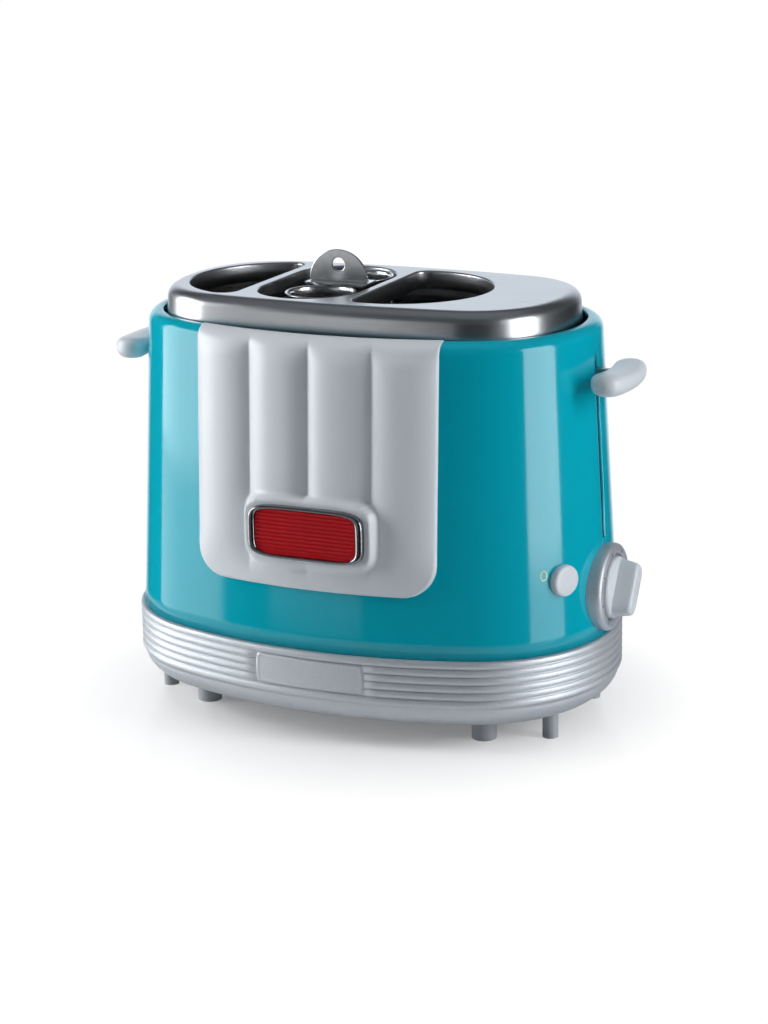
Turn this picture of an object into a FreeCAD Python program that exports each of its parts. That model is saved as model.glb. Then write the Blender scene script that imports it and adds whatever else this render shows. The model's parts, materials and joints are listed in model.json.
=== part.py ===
import FreeCAD, Part
import math
import os
import re
import Sketcher

# A two-bun, two-sausage toaster with a retro housing: an oval moulded shell on a ridged
# base, a pressed steel cover with three mouths, a carriage with a paddle at each end,
# and a lift-out sausage basket.  Millimetres, +Z up, front at -Y, controls at +X.
# The origin is the middle of the footprint, on the surface that the feet stand on.

SIZES = {
    # plan outline of the housing where it meets the base: eight tangent arcs
    "low_half_length": 134.5, "low_half_depth": 88.0, "low_bow": 260.0,
    "low_end": "=low_half_depth", "wall_lean": 0.0542,
    "low_corner": "=low_half_depth-(low_half_length-low_half_depth)^2/low_bow-4.68",
    # heights
    "foot_tall": 12.0, "ridge_low": 25.5, "base_top": 51.0, "rim_top": 215.3,
    # housing shell
    "shell_wall": 2.4, "shoulder": 6.5, "lip_width": 7.9, "fit_gap": 0.3,
    # front panel
    "panel_half": 69.0, "panel_low": 83.5, "panel_corner": 18.0, "panel_proud": 0.5,
    "panel_wall": 3.2, "rib_count": 4, "rib_rise": 4.2, "rib_fade": 9.0, "rib_low": 91.0,
    # badge
    "badge_tall": 22.0, "badge_long": 59.0, "badge_bow": 3.2, "badge_high": 115.0,
    "badge_face": "=low_half_depth+5.2", "badge_deep": 4.0, "badge_rim": 2.6, "badge_pad": 3.5,
    "lens_grooves": 9,
    # base moulding
    "ledge": 2.5, "ridge_count": 6, "ridge_depth": 1.5, "bowl_reach": 18.0, "bowl_steps": 3,
    "floor_thick": 2.5, "base_wall": 6.0, "plate_half": 32.0, "plate_thick": 1.2,
    # feet and posts
    "foot_x": "=low_half_length-52.5", "foot_y": "=low_half_depth-41", "foot_radius": 6.6,
    "peg_x": "=low_half_length-20.5", "peg_y": "=low_half_depth-55", "peg_radius": 4.2,
    "post_x": 58.0, "post_y": "=low_half_depth-30", "post_radius": 4.5,
    "screw_radius": 1.6, "screw_head": 3.2,
    # steel cover
    "cover_half_length": "=low_half_length-20.5", "cover_half_depth": "=low_half_depth-25.7",
    "cover_bow": 606.0, "cover_end": "=cover_half_depth+25", "cover_corner": "=cover_half_depth-15",
    "cover_low": "=rim_top-7.3", "cover_top": "=rim_top+13.7", "cover_slope": 3.0,
    "cover_round": 7.0, "cover_sheet": 1.0, "collar_deep": 10.0,
    # mouths in the cover: straight edge, depth from it and half width
    "left_edge": -60.5, "left_depth": "=cover_half_length+left_edge-10.5",
    "left_half": "=cover_half_depth-12.8",
    "right_edge": 7.5, "right_depth": 59.0, "right_half": "=cover_half_depth-15.8",
    "centre_x": -26.0, "centre_half": 28.0, "centre_long": "=cover_half_depth-12.8",
    "mouth_round": 8.0,
    # sheet metal frame
    "sheet": 1.2, "frame_floor": 39.0, "reflector_y": "=low_half_depth-36.5", "reflector_thick": 0.8,
    "end_left": "=24.5-low_half_length", "end_right": "=right_edge+right_depth+1.5",
    "end_half": "=low_half_depth-49", "frame_long": "=low_half_length-12.5",
    "frame_short": "=low_half_length-50.5", "frame_wide": "=low_half_depth-22",
    "frame_narrow": "=low_half_depth-54", "rod_flange": "=cover_low-8",
    # heater boards
    "board_thick": 1.0, "board_half": "=low_half_depth-43", "board_top": 196.0, "board_slot": 4.0,
    "wire_wide": 1.4, "wire_thick": 0.3, "wire_turns": 6,
    "board_one": "=left_edge-left_depth-2", "board_two": "=left_edge+2.7",
    "board_three": "=right_edge-3.3", "board_four": "=end_right-2.2",
    # carriage
    "travel": 70.0, "rack_high": 118.0, "rack_sheet": 1.2, "rack_lip": 8.0, "spine_tall": 4.0,
    "spine_thick": 3.0, "upright_left": "=end_left-7", "upright_right": "=low_half_length-42.5",
    "upright_wide": 8.0, "arm_high": 189.0, "arm_tall": 8.0, "arm_end": "=low_half_length+4.5",
    "rod_radius": 2.5, "rod_off": 8.0,
    "rod_gap": 0.06, "bush_tall": 14.0,
    # lever paddles
    "paddle_far": "=low_half_length+15.5", "paddle_hollow": "=low_half_depth-2.8", "paddle_bow": 80.0,
    "paddle_round": 8.9, "paddle_tall": 12.0, "paddle_edge": 2.4, "socket_deep": 10.7,
    "slot_wide": 4.6, "slot_low": "=arm_high-travel-17", "slot_high": "=arm_high+8",
    # basket
    "basket_x": "=centre_x+7.2", "ring_y": "=centre_long-25", "ring_radius": 18.8, "ring_wall": 1.2,
    "ring_tall": 9.0, "ring_top": "=cover_top-0.4", "basket_wires": 6, "wire_radius": 1.0, "tab_half": 17.3,
    "tab_thick": 1.2, "tab_hole": 3.7, "tab_hole_up": 9.2, "bridge_half": "=ring_y-ring_radius+2.3",
    # browning knob
    "knob_high": 75.5, "ring_outer": 23.5, "ring_bevel": 1.5, "ring_face": "=low_half_length+3.5",
    "dish_radius": 18.0,
    "knob_radius": 16.5, "knob_disc": 4.0, "knob_far": "=low_half_length+15.5",
    "grip_half": 14.6, "grip_wide": 10.0,
    "grip_turn": 27.0, "shaft_radius": 3.0, "shaft_gap": 0.05, "pot_half": 8.0,
    # stop button
    "button_turn": 28.0, "button_high": 89.0, "button_radius": 8.8, "button_proud": 4.5,
    "button_travel": 3.0, "button_gap": 0.4, "stem_radius": 2.0,
    # control board and its parts
    "board_x": "=low_half_length-31.5", "card_thick": 1.6, "card_low": 46.0, "card_high": 104.0,
    "card_half": 36.0,
    # crumb tray
    "tray_half": 45.0, "tray_ridges": 3, "tray_front": "=30-low_half_depth", "tray_wall": 1.2,
    "tray_gap": 0.4,
    # mains terminals
    "terminal_x": -78.0,
}

doc = FreeCAD.newDocument("HotDogToaster")
sheet = doc.addObject("Spreadsheet::Sheet", "Sizes")
for row, (alias, number) in enumerate(SIZES.items(), 1):
    sheet.set("A%d" % row, alias)
    sheet.set("B%d" % row, str(number))
    sheet.setAlias("B%d" % row, alias)
doc.recompute()

Vec = FreeCAD.Vector
Limit = Sketcher.Constraint
NODES = {}


def full(formula):
    """Turn a formula in size names into an expression that reads the sheet."""
    return re.sub(r"[a-z_]+", lambda m: "Sizes." + m.group(0) if m.group(0) in SIZES else m.group(0),
                  str(formula))


def val(formula):
    return float(sheet.evalExpression(full(formula)))


def bind(item, **formulas):
    for name, formula in formulas.items():
        item.setExpression(name.replace("__", "."), full(formula))


def keep(label, item):
    """Name a finished sub-part; its label is its file name."""
    item.Label = label
    NODES[label] = item
    return item


# ---- small builders -------------------------------------------------------------------

def at(item, x="0", y="0", z="0"):
    bind(item, Placement__Base__x=x, Placement__Base__y=y, Placement__Base__z=z)
    return item


def block(name, x, y, z):
    """A box between two formulas on each axis."""
    item = doc.addObject("Part::Box", name)
    bind(item, Length="(%s)-(%s)" % (x[1], x[0]), Width="(%s)-(%s)" % (y[1], y[0]),
         Height="(%s)-(%s)" % (z[1], z[0]))
    return at(item, x[0], y[0], z[0])


AXES = {"z": FreeCAD.Rotation(), "x": FreeCAD.Rotation(Vec(0, 1, 0), 90),
        "y": FreeCAD.Rotation(Vec(1, 0, 0), -90)}


def rod(name, axis, x, y, z, radius, length):
    item = doc.addObject("Part::Cylinder", name)
    bind(item, Radius=radius, Height=length)
    item.Placement = FreeCAD.Placement(Vec(), AXES[axis])
    return at(item, x, y, z)


def bar(name, axis, x, y, z, radius, length, sides=6):
    """A thin wire or band, many-sided so that a cage of them stays light."""
    item = doc.addObject("Part::Prism", name)
    item.Polygon = sides
    bind(item, Circumradius=radius, Height=length)
    item.Placement = FreeCAD.Placement(Vec(), AXES[axis])
    return at(item, x, y, z)


def fuse(name, *items):
    item = doc.addObject("Part::MultiFuse", name)
    item.Shapes = list(items)
    item.Refine = True
    return item


def cut(name, base, *tools):
    item = doc.addObject("Part::Cut", name)
    item.Base = base
    item.Tool = tools[0] if len(tools) == 1 else fuse(name + "_tools", *tools)
    return item


def common(name, one, two):
    item = doc.addObject("Part::MultiCommon", name)
    item.Shapes = [one, two]
    return item


def group(name, *items):
    item = doc.addObject("Part::Compound", name)
    item.Links = list(items)
    return item


# ---- sketches and features of a body --------------------------------------------------

def body(name):
    return doc.addObject("PartDesign::Body", name)


def sketch(owner, name, role="XY_Plane", offset="0"):
    item = owner.newObject("Sketcher::SketchObject", name)
    plane = next(p for p in owner.Origin.OriginFeatures if p.Role == role)
    item.AttachmentSupport = [(plane, "")]
    item.MapMode = "FlatFace"
    bind(item, AttachmentOffset__Base__z=offset)
    return item


def limit(item, kind, *where, to):
    """Add a dimension and drive it from the sheet."""
    index = item.addConstraint(Limit(kind, *where, val(to)))
    item.setExpression("Constraints[%d]" % index, full(to))


def place_point(item, edge, end, x, y):
    for kind, formula, axis in (("DistanceX", x, -2), ("DistanceY", y, -1)):
        if abs(val(formula)) < 1e-9:
            item.addConstraint(Limit("PointOnObject", edge, end, axis))
        else:
            limit(item, kind, -1, 1, edge, end, to=formula)


def profile(item, *corners):
    """A closed outline through corners (x, y) or (x, y, radius): a radius bends the edge
    that arrives at that corner, to the right of its run when it is negative."""
    points = [Vec(val(c[0]), val(c[1]), 0) for c in corners]
    first = item.GeometryCount
    count = len(corners)
    for i in range(count):
        a, b, spec = points[i], points[(i + 1) % count], corners[(i + 1) % count]
        if len(spec) < 3:
            item.addGeometry(Part.LineSegment(a, b), False)
            continue
        radius, chord = val(spec[2]), b - a
        side = Vec(-chord.y, chord.x, 0).normalize() * (1 if radius > 0 else -1)
        rise = abs(radius) - math.sqrt(radius ** 2 - (chord.Length / 2) ** 2)
        item.addGeometry(Part.Arc(a, (a + b) / 2 + side * rise, b), False)
    for i in range(count):
        this, following = first + i, first + (i + 1) % count
        here = (this, end_of(item, this, points[(i + 1) % count]))
        there = (following, end_of(item, following, points[(i + 1) % count]))
        item.addConstraint(Limit("Coincident", *here, *there))
        place_point(item, *here, corners[(i + 1) % count][0], corners[(i + 1) % count][1])
    for i in range(count):
        spec = corners[(i + 1) % count]
        if len(spec) == 3:
            limit(item, "Radius", first + i, to="abs(%s)" % spec[2])
    return item


def end_of(item, edge, point):
    """Which end of a sketch edge lies at a point: an arc always runs anticlockwise."""
    return 1 if (item.getPoint(edge, 1) - point).Length < 1e-6 else 2


def circle(item, x, y, radius):
    edge = item.addGeometry(Part.Circle(Vec(val(x), val(y), 0), Vec(0, 0, 1), val(radius)), False)
    place_point(item, edge, 3, x, y)
    limit(item, "Radius", edge, to=radius)
    return item


def oval(item, length, depth, bow, end, corner):
    """The plan outline: end arcs, corner arcs and bowed front and back, all tangent."""
    a, b, rb, re, rc = [val(f) for f in (length, depth, bow, end, corner)]
    front, side = Vec(0, b - rb, 0), Vec(a - re, 0, 0)
    span = side - front
    along = ((rb - rc) ** 2 - (re - rc) ** 2 + span.Length ** 2) / (2 * span.Length)
    off = math.sqrt((rb - rc) ** 2 - along ** 2)
    unit = span / span.Length
    turn = front + unit * along + Vec(unit.y, -unit.x, 0) * off
    t_end = math.atan2(turn.y, turn.x - side.x)
    t_bow = math.atan2(turn.y - front.y, turn.x)
    half = math.pi
    arcs = [(side.x, 0, re, -t_end, t_end), (turn.x, turn.y, rc, t_end, t_bow),
            (0, front.y, rb, t_bow, half - t_bow), (-turn.x, turn.y, rc, half - t_bow, half - t_end),
            (-side.x, 0, re, half - t_end, half + t_end),
            (-turn.x, -turn.y, rc, half + t_end, half + t_bow),
            (0, -front.y, rb, half + t_bow, 2 * half - t_bow),
            (turn.x, -turn.y, rc, 2 * half - t_bow, 2 * half - t_end)]
    for x, y, r, start, stop in arcs:
        item.addGeometry(Part.ArcOfCircle(Part.Circle(Vec(x, y, 0), Vec(0, 0, 1), r), start, stop), False)
    for i in range(8):
        item.addConstraint(Limit("Tangent", i, 2, (i + 1) % 8, 1))
    for edge, radius in ((0, end), (4, end), (2, bow), (6, bow)):
        limit(item, "Radius", edge, to=radius)
    for edge in (1, 3, 5, 7):
        limit(item, "Radius", edge, to=corner)
    for edge, sign in ((0, 1), (4, -1)):
        item.addConstraint(Limit("PointOnObject", edge, 3, -1))
        limit(item, "DistanceX", -1, 1, edge, 3, to="%d*((%s)-(%s))" % (sign, length, end))
    for edge, sign in ((2, 1), (6, -1)):
        item.addConstraint(Limit("PointOnObject", edge, 3, -2))
        limit(item, "DistanceY", -1, 1, edge, 3, to="%d*((%s)-(%s))" % (sign, depth, bow))
    return item


def housing_oval(item, inset):
    names = ("low_half_length", "low_half_depth", "low_bow", "low_end", "low_corner")
    return oval(item, *["%s-(%s)" % (name, inset) for name in names])


def cover_oval(item, inset):
    names = ("cover_half_length", "cover_half_depth", "cover_bow", "cover_end", "cover_corner")
    return oval(item, *["%s-(%s)" % (name, inset) for name in names])


def pad(owner, name, outline, length, down=False, taper=None, both=False):
    item = owner.newObject("PartDesign::Pad", name)
    item.Profile = outline
    item.Reversed = down
    item.Midplane = both
    bind(item, Length=length)
    if taper is not None:
        bind(item, TaperAngle=taper)
    return item


def pocket(owner, name, outline, length, up=False, taper=None, both=False):
    """A cut that must take something away, so the volume is compared."""
    doc.recompute()
    before = owner.Shape.Volume
    item = owner.newObject("PartDesign::Pocket", name)
    item.Profile = outline
    item.Reversed = up
    item.Midplane = both
    bind(item, Length=length)
    if taper is not None:
        bind(item, TaperAngle=taper)
    doc.recompute()
    if not owner.Shape.Volume < before - 1e-3:
        raise RuntimeError("%s cuts nothing" % name)
    return item


def spin(owner, name, outline, axis="V_Axis"):
    item = owner.newObject("PartDesign::Revolution", name)
    item.Profile = outline
    item.ReferenceAxis = (outline, [axis])
    item.Angle = 360
    return item


def edges_at(item, height):
    """Edges that lie in one level plane, of a feature that is already computed."""
    doc.recompute()
    level = val(height)
    return ["Edge%d" % i for i, e in enumerate(item.Shape.Edges, 1)
            if all(abs(p.z - level) < 1e-4 for p in e.discretize(5))]


def soften(owner, name, base, edges, radius, kind="Fillet"):
    item = owner.newObject("PartDesign::" + kind, name)
    item.Base = (base, edges)
    bind(item, **{"Radius" if kind == "Fillet" else "Size": radius})
    return item


def row_of(owner, name, originals, direction, step, count):
    """A straight pattern along one of the body's own axes."""
    item = owner.newObject("PartDesign::LinearPattern", name)
    item.Originals = originals
    axis = next(a for a in owner.Origin.OriginFeatures if a.Role == direction)
    item.Direction = (axis, [""])
    bind(item, Length="(%s)*((%s)-1)" % (step, count), Occurrences=count)
    owner.Tip = item
    return item


LEAN = "-atan(wall_lean)"


def drum(owner, name, inset, low, high, cutting=False):
    """A solid, or a cut, that follows the leaning housing wall at a set distance inside it."""
    outline = sketch(owner, name + "_outline", "XY_Plane", low)
    housing_oval(outline, "(%s)+wall_lean*((%s)-base_top)" % (inset, low))
    length = "(%s)-(%s)" % (high, low)
    if cutting:
        return pocket(owner, name, outline, length, up=True, taper=LEAN)
    return pad(owner, name, outline, length, taper=LEAN)


def round_over(owner, name, ring, inset, high, radius, steps=2, down=False, start=0):
    """Close a wall with a rounded edge made of short tapers along a quarter circle.

    high is the level where the round ends, inset the wall's own distance in at its start,
    and start the angle at which the wall already leans."""
    way = -1 if down else 1
    angles = [math.radians(start + (90 - start) * k / steps) for k in range(steps + 1)]
    for k, (a, b) in enumerate(zip(angles, angles[1:])):
        drop = "(%s)*%.6f" % (radius, 1 - math.sin(a))
        rise = "(%s)*%.6f" % (radius, math.sin(b) - math.sin(a))
        level = "(%s)-(%d)*%s" % (high, way, drop)
        start_in = "(%s)+(%s)*%.6f" % (inset, radius, math.cos(angles[0]) - math.cos(a))
        more = "(%s)*%.6f" % (radius, math.cos(a) - math.cos(b))
        outline = ring(sketch(owner, "%s_outline%d" % (name, k), "XY_Plane", level), start_in)
        pad(owner, "%s%d" % (name, k), outline, rise, down=down, taper="-atan(%s/(%s))" % (more, rise))


# ---- housing shell --------------------------------------------------------------------

def window_outline(item, shrink):
    """The panel's opening seen from the front: open at the top, round at its low corners."""
    wide = "panel_half-(%s)" % shrink
    low = "panel_low+(%s)" % shrink
    turn = "panel_corner-(%s)" % shrink
    high = "rim_top+20"
    return profile(item, ("-(%s)" % wide, high), ("-(%s)" % wide, "%s+%s" % (low, turn)),
                   ("-(%s)+%s" % (wide, turn), low, "-(%s)" % turn), ("%s-(%s)" % (wide, turn), low),
                   (wide, "%s+%s" % (low, turn), "-(%s)" % turn), (wide, high))


def wall_inset(level):
    """How far the leaning wall stands inside the low outline at a level."""
    return "wall_lean*((%s)-base_top)" % level


def button_frame():
    """Where the stop button's axis leaves the housing, and its outward direction."""
    inset = val("wall_lean*(button_high-base_top)")
    a, b, rb, re, rc = [val(n) - inset for n in
                        ("low_half_length", "low_half_depth", "low_bow", "low_end", "low_corner")]
    front, side = Vec(0, b - rb, 0), Vec(a - re, 0, 0)
    span = side - front
    along = ((rb - rc) ** 2 - (re - rc) ** 2 + span.Length ** 2) / (2 * span.Length)
    unit = span / span.Length
    turn = front + unit * along + Vec(unit.y, -unit.x, 0) * math.sqrt((rb - rc) ** 2 - along ** 2)
    angle = math.radians(val("button_turn"))
    way = Vec(math.cos(angle), -math.sin(angle), 0)
    spot = Vec(turn.x, -turn.y, val("button_high")) + way * rc
    return FreeCAD.Placement(spot, FreeCAD.Rotation(Vec(0, 0, 1), way))


BUTTON = button_frame()


def housing_shell():
    owner = body("ShellBody")
    drum(owner, "Outside", "0", "base_top", "rim_top-shoulder")
    round_over(owner, "Shoulder", housing_oval, wall_inset("rim_top-shoulder"), "rim_top", "shoulder")
    drum(owner, "Inside", "shell_wall", "base_top", "rim_top-shell_wall", cutting=True)
    lip = sketch(owner, "Lip", "XY_Plane", "rim_top-shell_wall-1")
    housing_oval(lip, "wall_lean*(rim_top-base_top)+lip_width")
    pocket(owner, "Mouth", lip, "shell_wall+2", up=True)
    window = window_outline(sketch(owner, "Window", "XZ_Plane"), "0")
    pocket(owner, "WindowCut", window, "low_half_depth+ledge", up=True)
    slot = sketch(owner, "LeverSlots", "YZ_Plane")
    half = "slot_wide/2"
    profile(slot, ("-" + half, "slot_low"), (half, "slot_low"), (half, "slot_high"),
            ("-" + half, "slot_high"))
    pocket(owner, "SlotCut", slot, "2*low_half_length+4", both=True)
    bore = circle(sketch(owner, "ShaftHole", "YZ_Plane"), "0", "knob_high", "shaft_radius+1.5")
    pocket(owner, "ShaftCut", bore, "low_half_length+4", up=True)
    drill = doc.addObject("Part::Cylinder", "ButtonHole")
    bind(drill, Radius="button_radius+button_gap", Height="shell_wall*6")
    drill.Placement = BUTTON.multiply(FreeCAD.Placement(Vec(0, 0, -val("shell_wall*3")), FreeCAD.Rotation()))
    return keep("housing_shell", cut("Shell", owner, drill))


# ---- front panel ----------------------------------------------------------------------

def window_prism(name, shrink):
    owner = body(name)
    pad(owner, name + "_pad", window_outline(sketch(owner, name + "_outline", "XZ_Plane"), shrink),
        "low_half_depth+30")
    return owner


def badge_outline(item, grow):
    """A rectangle whose four sides bow out a little, like an old screen."""
    x = "badge_long/2+(%s)" % grow
    y = "badge_tall/2+(%s)" % grow
    ends = "((%s)^2+badge_bow^2)/(2*badge_bow)" % y
    sides = "((%s)^2+badge_bow^2)/(2*badge_bow)" % x
    mid = "badge_high"
    return profile(item, ("-(%s)" % x, "%s-(%s)" % (mid, y), "-(%s)" % ends),
                   (x, "%s-(%s)" % (mid, y), "-(%s)" % sides), (x, "%s+(%s)" % (mid, y), "-(%s)" % ends),
                   ("-(%s)" % x, "%s+(%s)" % (mid, y), "-(%s)" % sides))


def rib_body():
    """Convex ribs side by side, pushed up along the lean of the front wall."""
    owner = body("RibBody")
    outline = sketch(owner, "RibOutline", "XY_Plane", "base_top")
    bind(outline, AttachmentOffset__Rotation__Angle="-atan(wall_lean)")
    lean = FreeCAD.Rotation(Vec(1, 0, 0), -math.degrees(math.atan(val("wall_lean"))))
    outline.AttachmentOffset = FreeCAD.Placement(Vec(0, 0, val("base_top")), lean)
    step = "(2*panel_half/rib_count)"
    front = "(low_half_depth+panel_proud)"
    curve = "((%s/2)^2+rib_rise^2)/(2*rib_rise)" % step

    def crease(i):
        x = "(%d*%s-panel_half)" % (i, step)
        return x, "-(%s-low_bow+sqrt(low_bow^2-%s^2))" % (front, x)

    corners = [("-panel_half", "0"), crease(0)]
    corners += [crease(i) + ("-(%s)" % curve,) for i in range(1, int(val("rib_count")) + 1)]
    profile(outline, *corners, ("panel_half", "0"))
    pad(owner, "RibPad", outline, "(rim_top-base_top+5)*sqrt(1+wall_lean^2)")
    return owner


def front_ribbed_panel():
    turn_low = "rim_top-shoulder"
    skin = body("SkinBody")
    drum(skin, "Skin", "-panel_proud", "base_top", turn_low)
    round_over(skin, "SkinShoulder", housing_oval, "-panel_proud+" + wall_inset(turn_low),
               "rim_top+panel_proud", "shoulder+panel_proud")
    pillow = body("PillowBody")
    swell = "-panel_proud-rib_rise+"
    drum(pillow, "Swell", "-panel_proud-rib_rise", "rib_low+rib_fade", turn_low)
    round_over(pillow, "SwellTop", housing_oval, swell + wall_inset(turn_low),
               "rim_top+panel_proud", "shoulder+panel_proud")
    round_over(pillow, "SwellFoot", housing_oval, swell + wall_inset("rib_low+rib_fade"),
               "rib_low", "rib_fade", down=True)
    ribs = common("Ribs", rib_body(), pillow)
    mound = body("MoundBody")
    shape = badge_outline(sketch(mound, "MoundOutline", "XZ_Plane"), "badge_pad")
    pad(mound, "MoundPad", shape, "badge_face-badge_deep")
    solid = common("PanelFront", fuse("PanelSum", skin, ribs, mound), window_prism("PanelTrim", "fit_gap"))
    hollow = body("HollowBody")
    drum(hollow, "Hollow", "panel_wall", "base_top", "rim_top-panel_wall")
    mouth = body("MouthBody")
    lip = sketch(mouth, "MouthOutline", "XY_Plane", "rim_top-panel_wall-1")
    housing_oval(lip, "wall_lean*(rim_top-base_top)+lip_width")
    pad(mouth, "MouthPad", lip, "panel_wall+12")
    # a flange behind the shell's wall holds the panel in its window
    backing = body("BackingBody")
    drum(backing, "Backing", "shell_wall+fit_gap", "panel_low-5", "rim_top-shell_wall-fit_gap-2")
    drum(backing, "BackingHollow", "shell_wall+fit_gap+1.4", "panel_low-5", "rim_top-shell_wall-fit_gap-2",
         cutting=True)
    flange = common("Flange", backing, window_prism("FlangeTrim", "-4"))
    plate = cut("PanelPlate", solid, hollow, mouth)
    return keep("front_ribbed_panel", fuse("Panel", plate, flange))


def badge():
    owner = body("badge_bezel_body")
    outer = badge_outline(sketch(owner, "BezelOutline", "XZ_Plane", "badge_face-badge_deep"), "0")
    rim = pad(owner, "BezelPad", outer, "badge_deep")
    doc.recompute()
    front = ["Edge%d" % i for i, e in enumerate(rim.Shape.Edges, 1)
             if all(abs(p.y + val("badge_face")) < 1e-4 for p in e.discretize(5))]
    soften(owner, "BezelEdge", rim, front, "badge_rim*0.45", "Chamfer")
    hole = badge_outline(sketch(owner, "BezelHole", "XZ_Plane", "badge_face-badge_deep+1.2"), "-badge_rim")
    pocket(owner, "BezelPocket", hole, "badge_deep", up=True)
    keep("badge_bezel", owner)

    lens = body("badge_lens_body")
    shape = badge_outline(sketch(lens, "LensOutline", "XZ_Plane", "badge_face-badge_deep+1.2"),
                          "-badge_rim-0.1")
    pad(lens, "LensPad", shape, "badge_deep-1.8")
    step = "((badge_tall-badge_rim)/lens_grooves)"
    groove = sketch(lens, "LensGroove", "YZ_Plane")
    face = "-(badge_face-0.6)"
    low = "badge_high-badge_tall/2+badge_rim/2+%s/2" % step
    profile(groove, (face + "-0.1", low + "-0.45"), (face + "-0.1", low + "+0.45"),
            (face + "+0.5", low + "+0.05"), (face + "+0.5", low + "-0.05"))
    first = pocket(lens, "LensCut", groove, "badge_long-2*badge_rim-4", both=True)
    row_of(lens, "LensCuts", [first], "Z_Axis", step, "lens_grooves")
    keep("badge_lens", lens)


# ---- base -----------------------------------------------------------------------------

RIDGE = "((base_top-ridge_low)/ridge_count)"


def base_ring():
    """Ridged oval wall on a bowl, hollow, with a floor."""
    owner = body("BaseBody")
    core = housing_oval(sketch(owner, "Core", "XY_Plane", "ridge_low"), "-ledge+ridge_depth")
    pad(owner, "CorePad", core, "base_top-ridge_low")
    crest = housing_oval(sketch(owner, "Crest", "XY_Plane", "base_top-%s/2" % RIDGE), "-ledge")
    slope = "-atan(ridge_depth/(%s/2))" % RIDGE
    up = pad(owner, "CrestUp", crest, "%s/2" % RIDGE, taper=slope)
    low = housing_oval(sketch(owner, "CrestLow", "XY_Plane", "base_top-%s/2" % RIDGE), "-ledge")
    down = pad(owner, "CrestDown", low, "%s/2" % RIDGE, down=True, taper=slope)
    doc.recompute()
    ridges = row_of(owner, "Ridges", [up, down], "Z_Axis", RIDGE, "ridge_count")
    ridges.Reversed = True
    # the bowl is a run of tapers that follows a quarter of an ellipse
    steps = int(val("bowl_steps"))
    for i in range(steps):
        a, b = [math.radians(90 * k / steps) for k in (i, i + 1)]
        top = "ridge_low-(ridge_low-foot_tall)*%.6f" % math.sin(a)
        deep = "(ridge_low-foot_tall)*%.6f" % (math.sin(b) - math.sin(a))
        inset = "-ledge+ridge_depth+(bowl_reach-ridge_depth)*%.6f" % (1 - math.cos(a))
        more = "(bowl_reach-ridge_depth)*%.6f" % (math.cos(a) - math.cos(b))
        ring = housing_oval(sketch(owner, "Bowl%d" % i, "XY_Plane", top), inset)
        pad(owner, "BowlPad%d" % i, ring, deep, down=True, taper="-atan(%s/(%s))" % (more, deep))
    well = housing_oval(sketch(owner, "Well", "XY_Plane", "ridge_low+1"), "base_wall-ledge")
    pocket(owner, "WellCut", well, "base_top", up=True)
    sump = housing_oval(sketch(owner, "Sump", "XY_Plane", "foot_tall+floor_thick"),
                        "bowl_reach+floor_thick-ledge")
    pocket(owner, "SumpCut", sump, "base_top", up=True)
    posts = sketch(owner, "Posts", "XY_Plane", "foot_tall+1")
    for x in ("-post_x", "post_x"):
        for y in ("-post_y", "post_y"):
            circle(posts, x, y, "post_radius")
    pad(owner, "PostPads", posts, "frame_floor-foot_tall-1")
    rails = sketch(owner, "Rails", "XY_Plane", "foot_tall+1")
    for side in ("-", ""):
        near, far = "%s(tray_half-9)" % side, "%s(tray_half-6)" % side
        profile(rails, (near, "tray_front+8"), (far, "tray_front+8"), (far, "-tray_front"),
                (near, "-tray_front"))
    pad(owner, "RailPads", rails, "ridge_low-foot_tall-1")
    bores = sketch(owner, "ScrewBores", "XY_Plane", "foot_tall")
    for x in ("-post_x", "post_x"):
        for y in ("-post_y", "post_y"):
            circle(bores, x, y, "screw_radius+0.1")
    pocket(owner, "ScrewBoreCut", bores, "frame_floor", up=True)
    heads = sketch(owner, "HeadBores", "XY_Plane", "foot_tall")
    for x in ("-post_x", "post_x"):
        for y in ("-post_y", "post_y"):
            circle(heads, x, y, "screw_head+0.3")
    pocket(owner, "HeadBoreCut", heads, "2.2", up=True)
    return owner


def tray_slot(name, gap):
    """The rear opening of the crumb tray, three ridges tall."""
    return block(name, ("-tray_half+(%s)" % gap, "tray_half-(%s)" % gap),
                 ("low_half_depth-22", "low_half_depth+10"),
                 ("ridge_low+(%s)" % gap, "ridge_low+tray_ridges*%s-(%s)" % (RIDGE, gap)))


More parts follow.
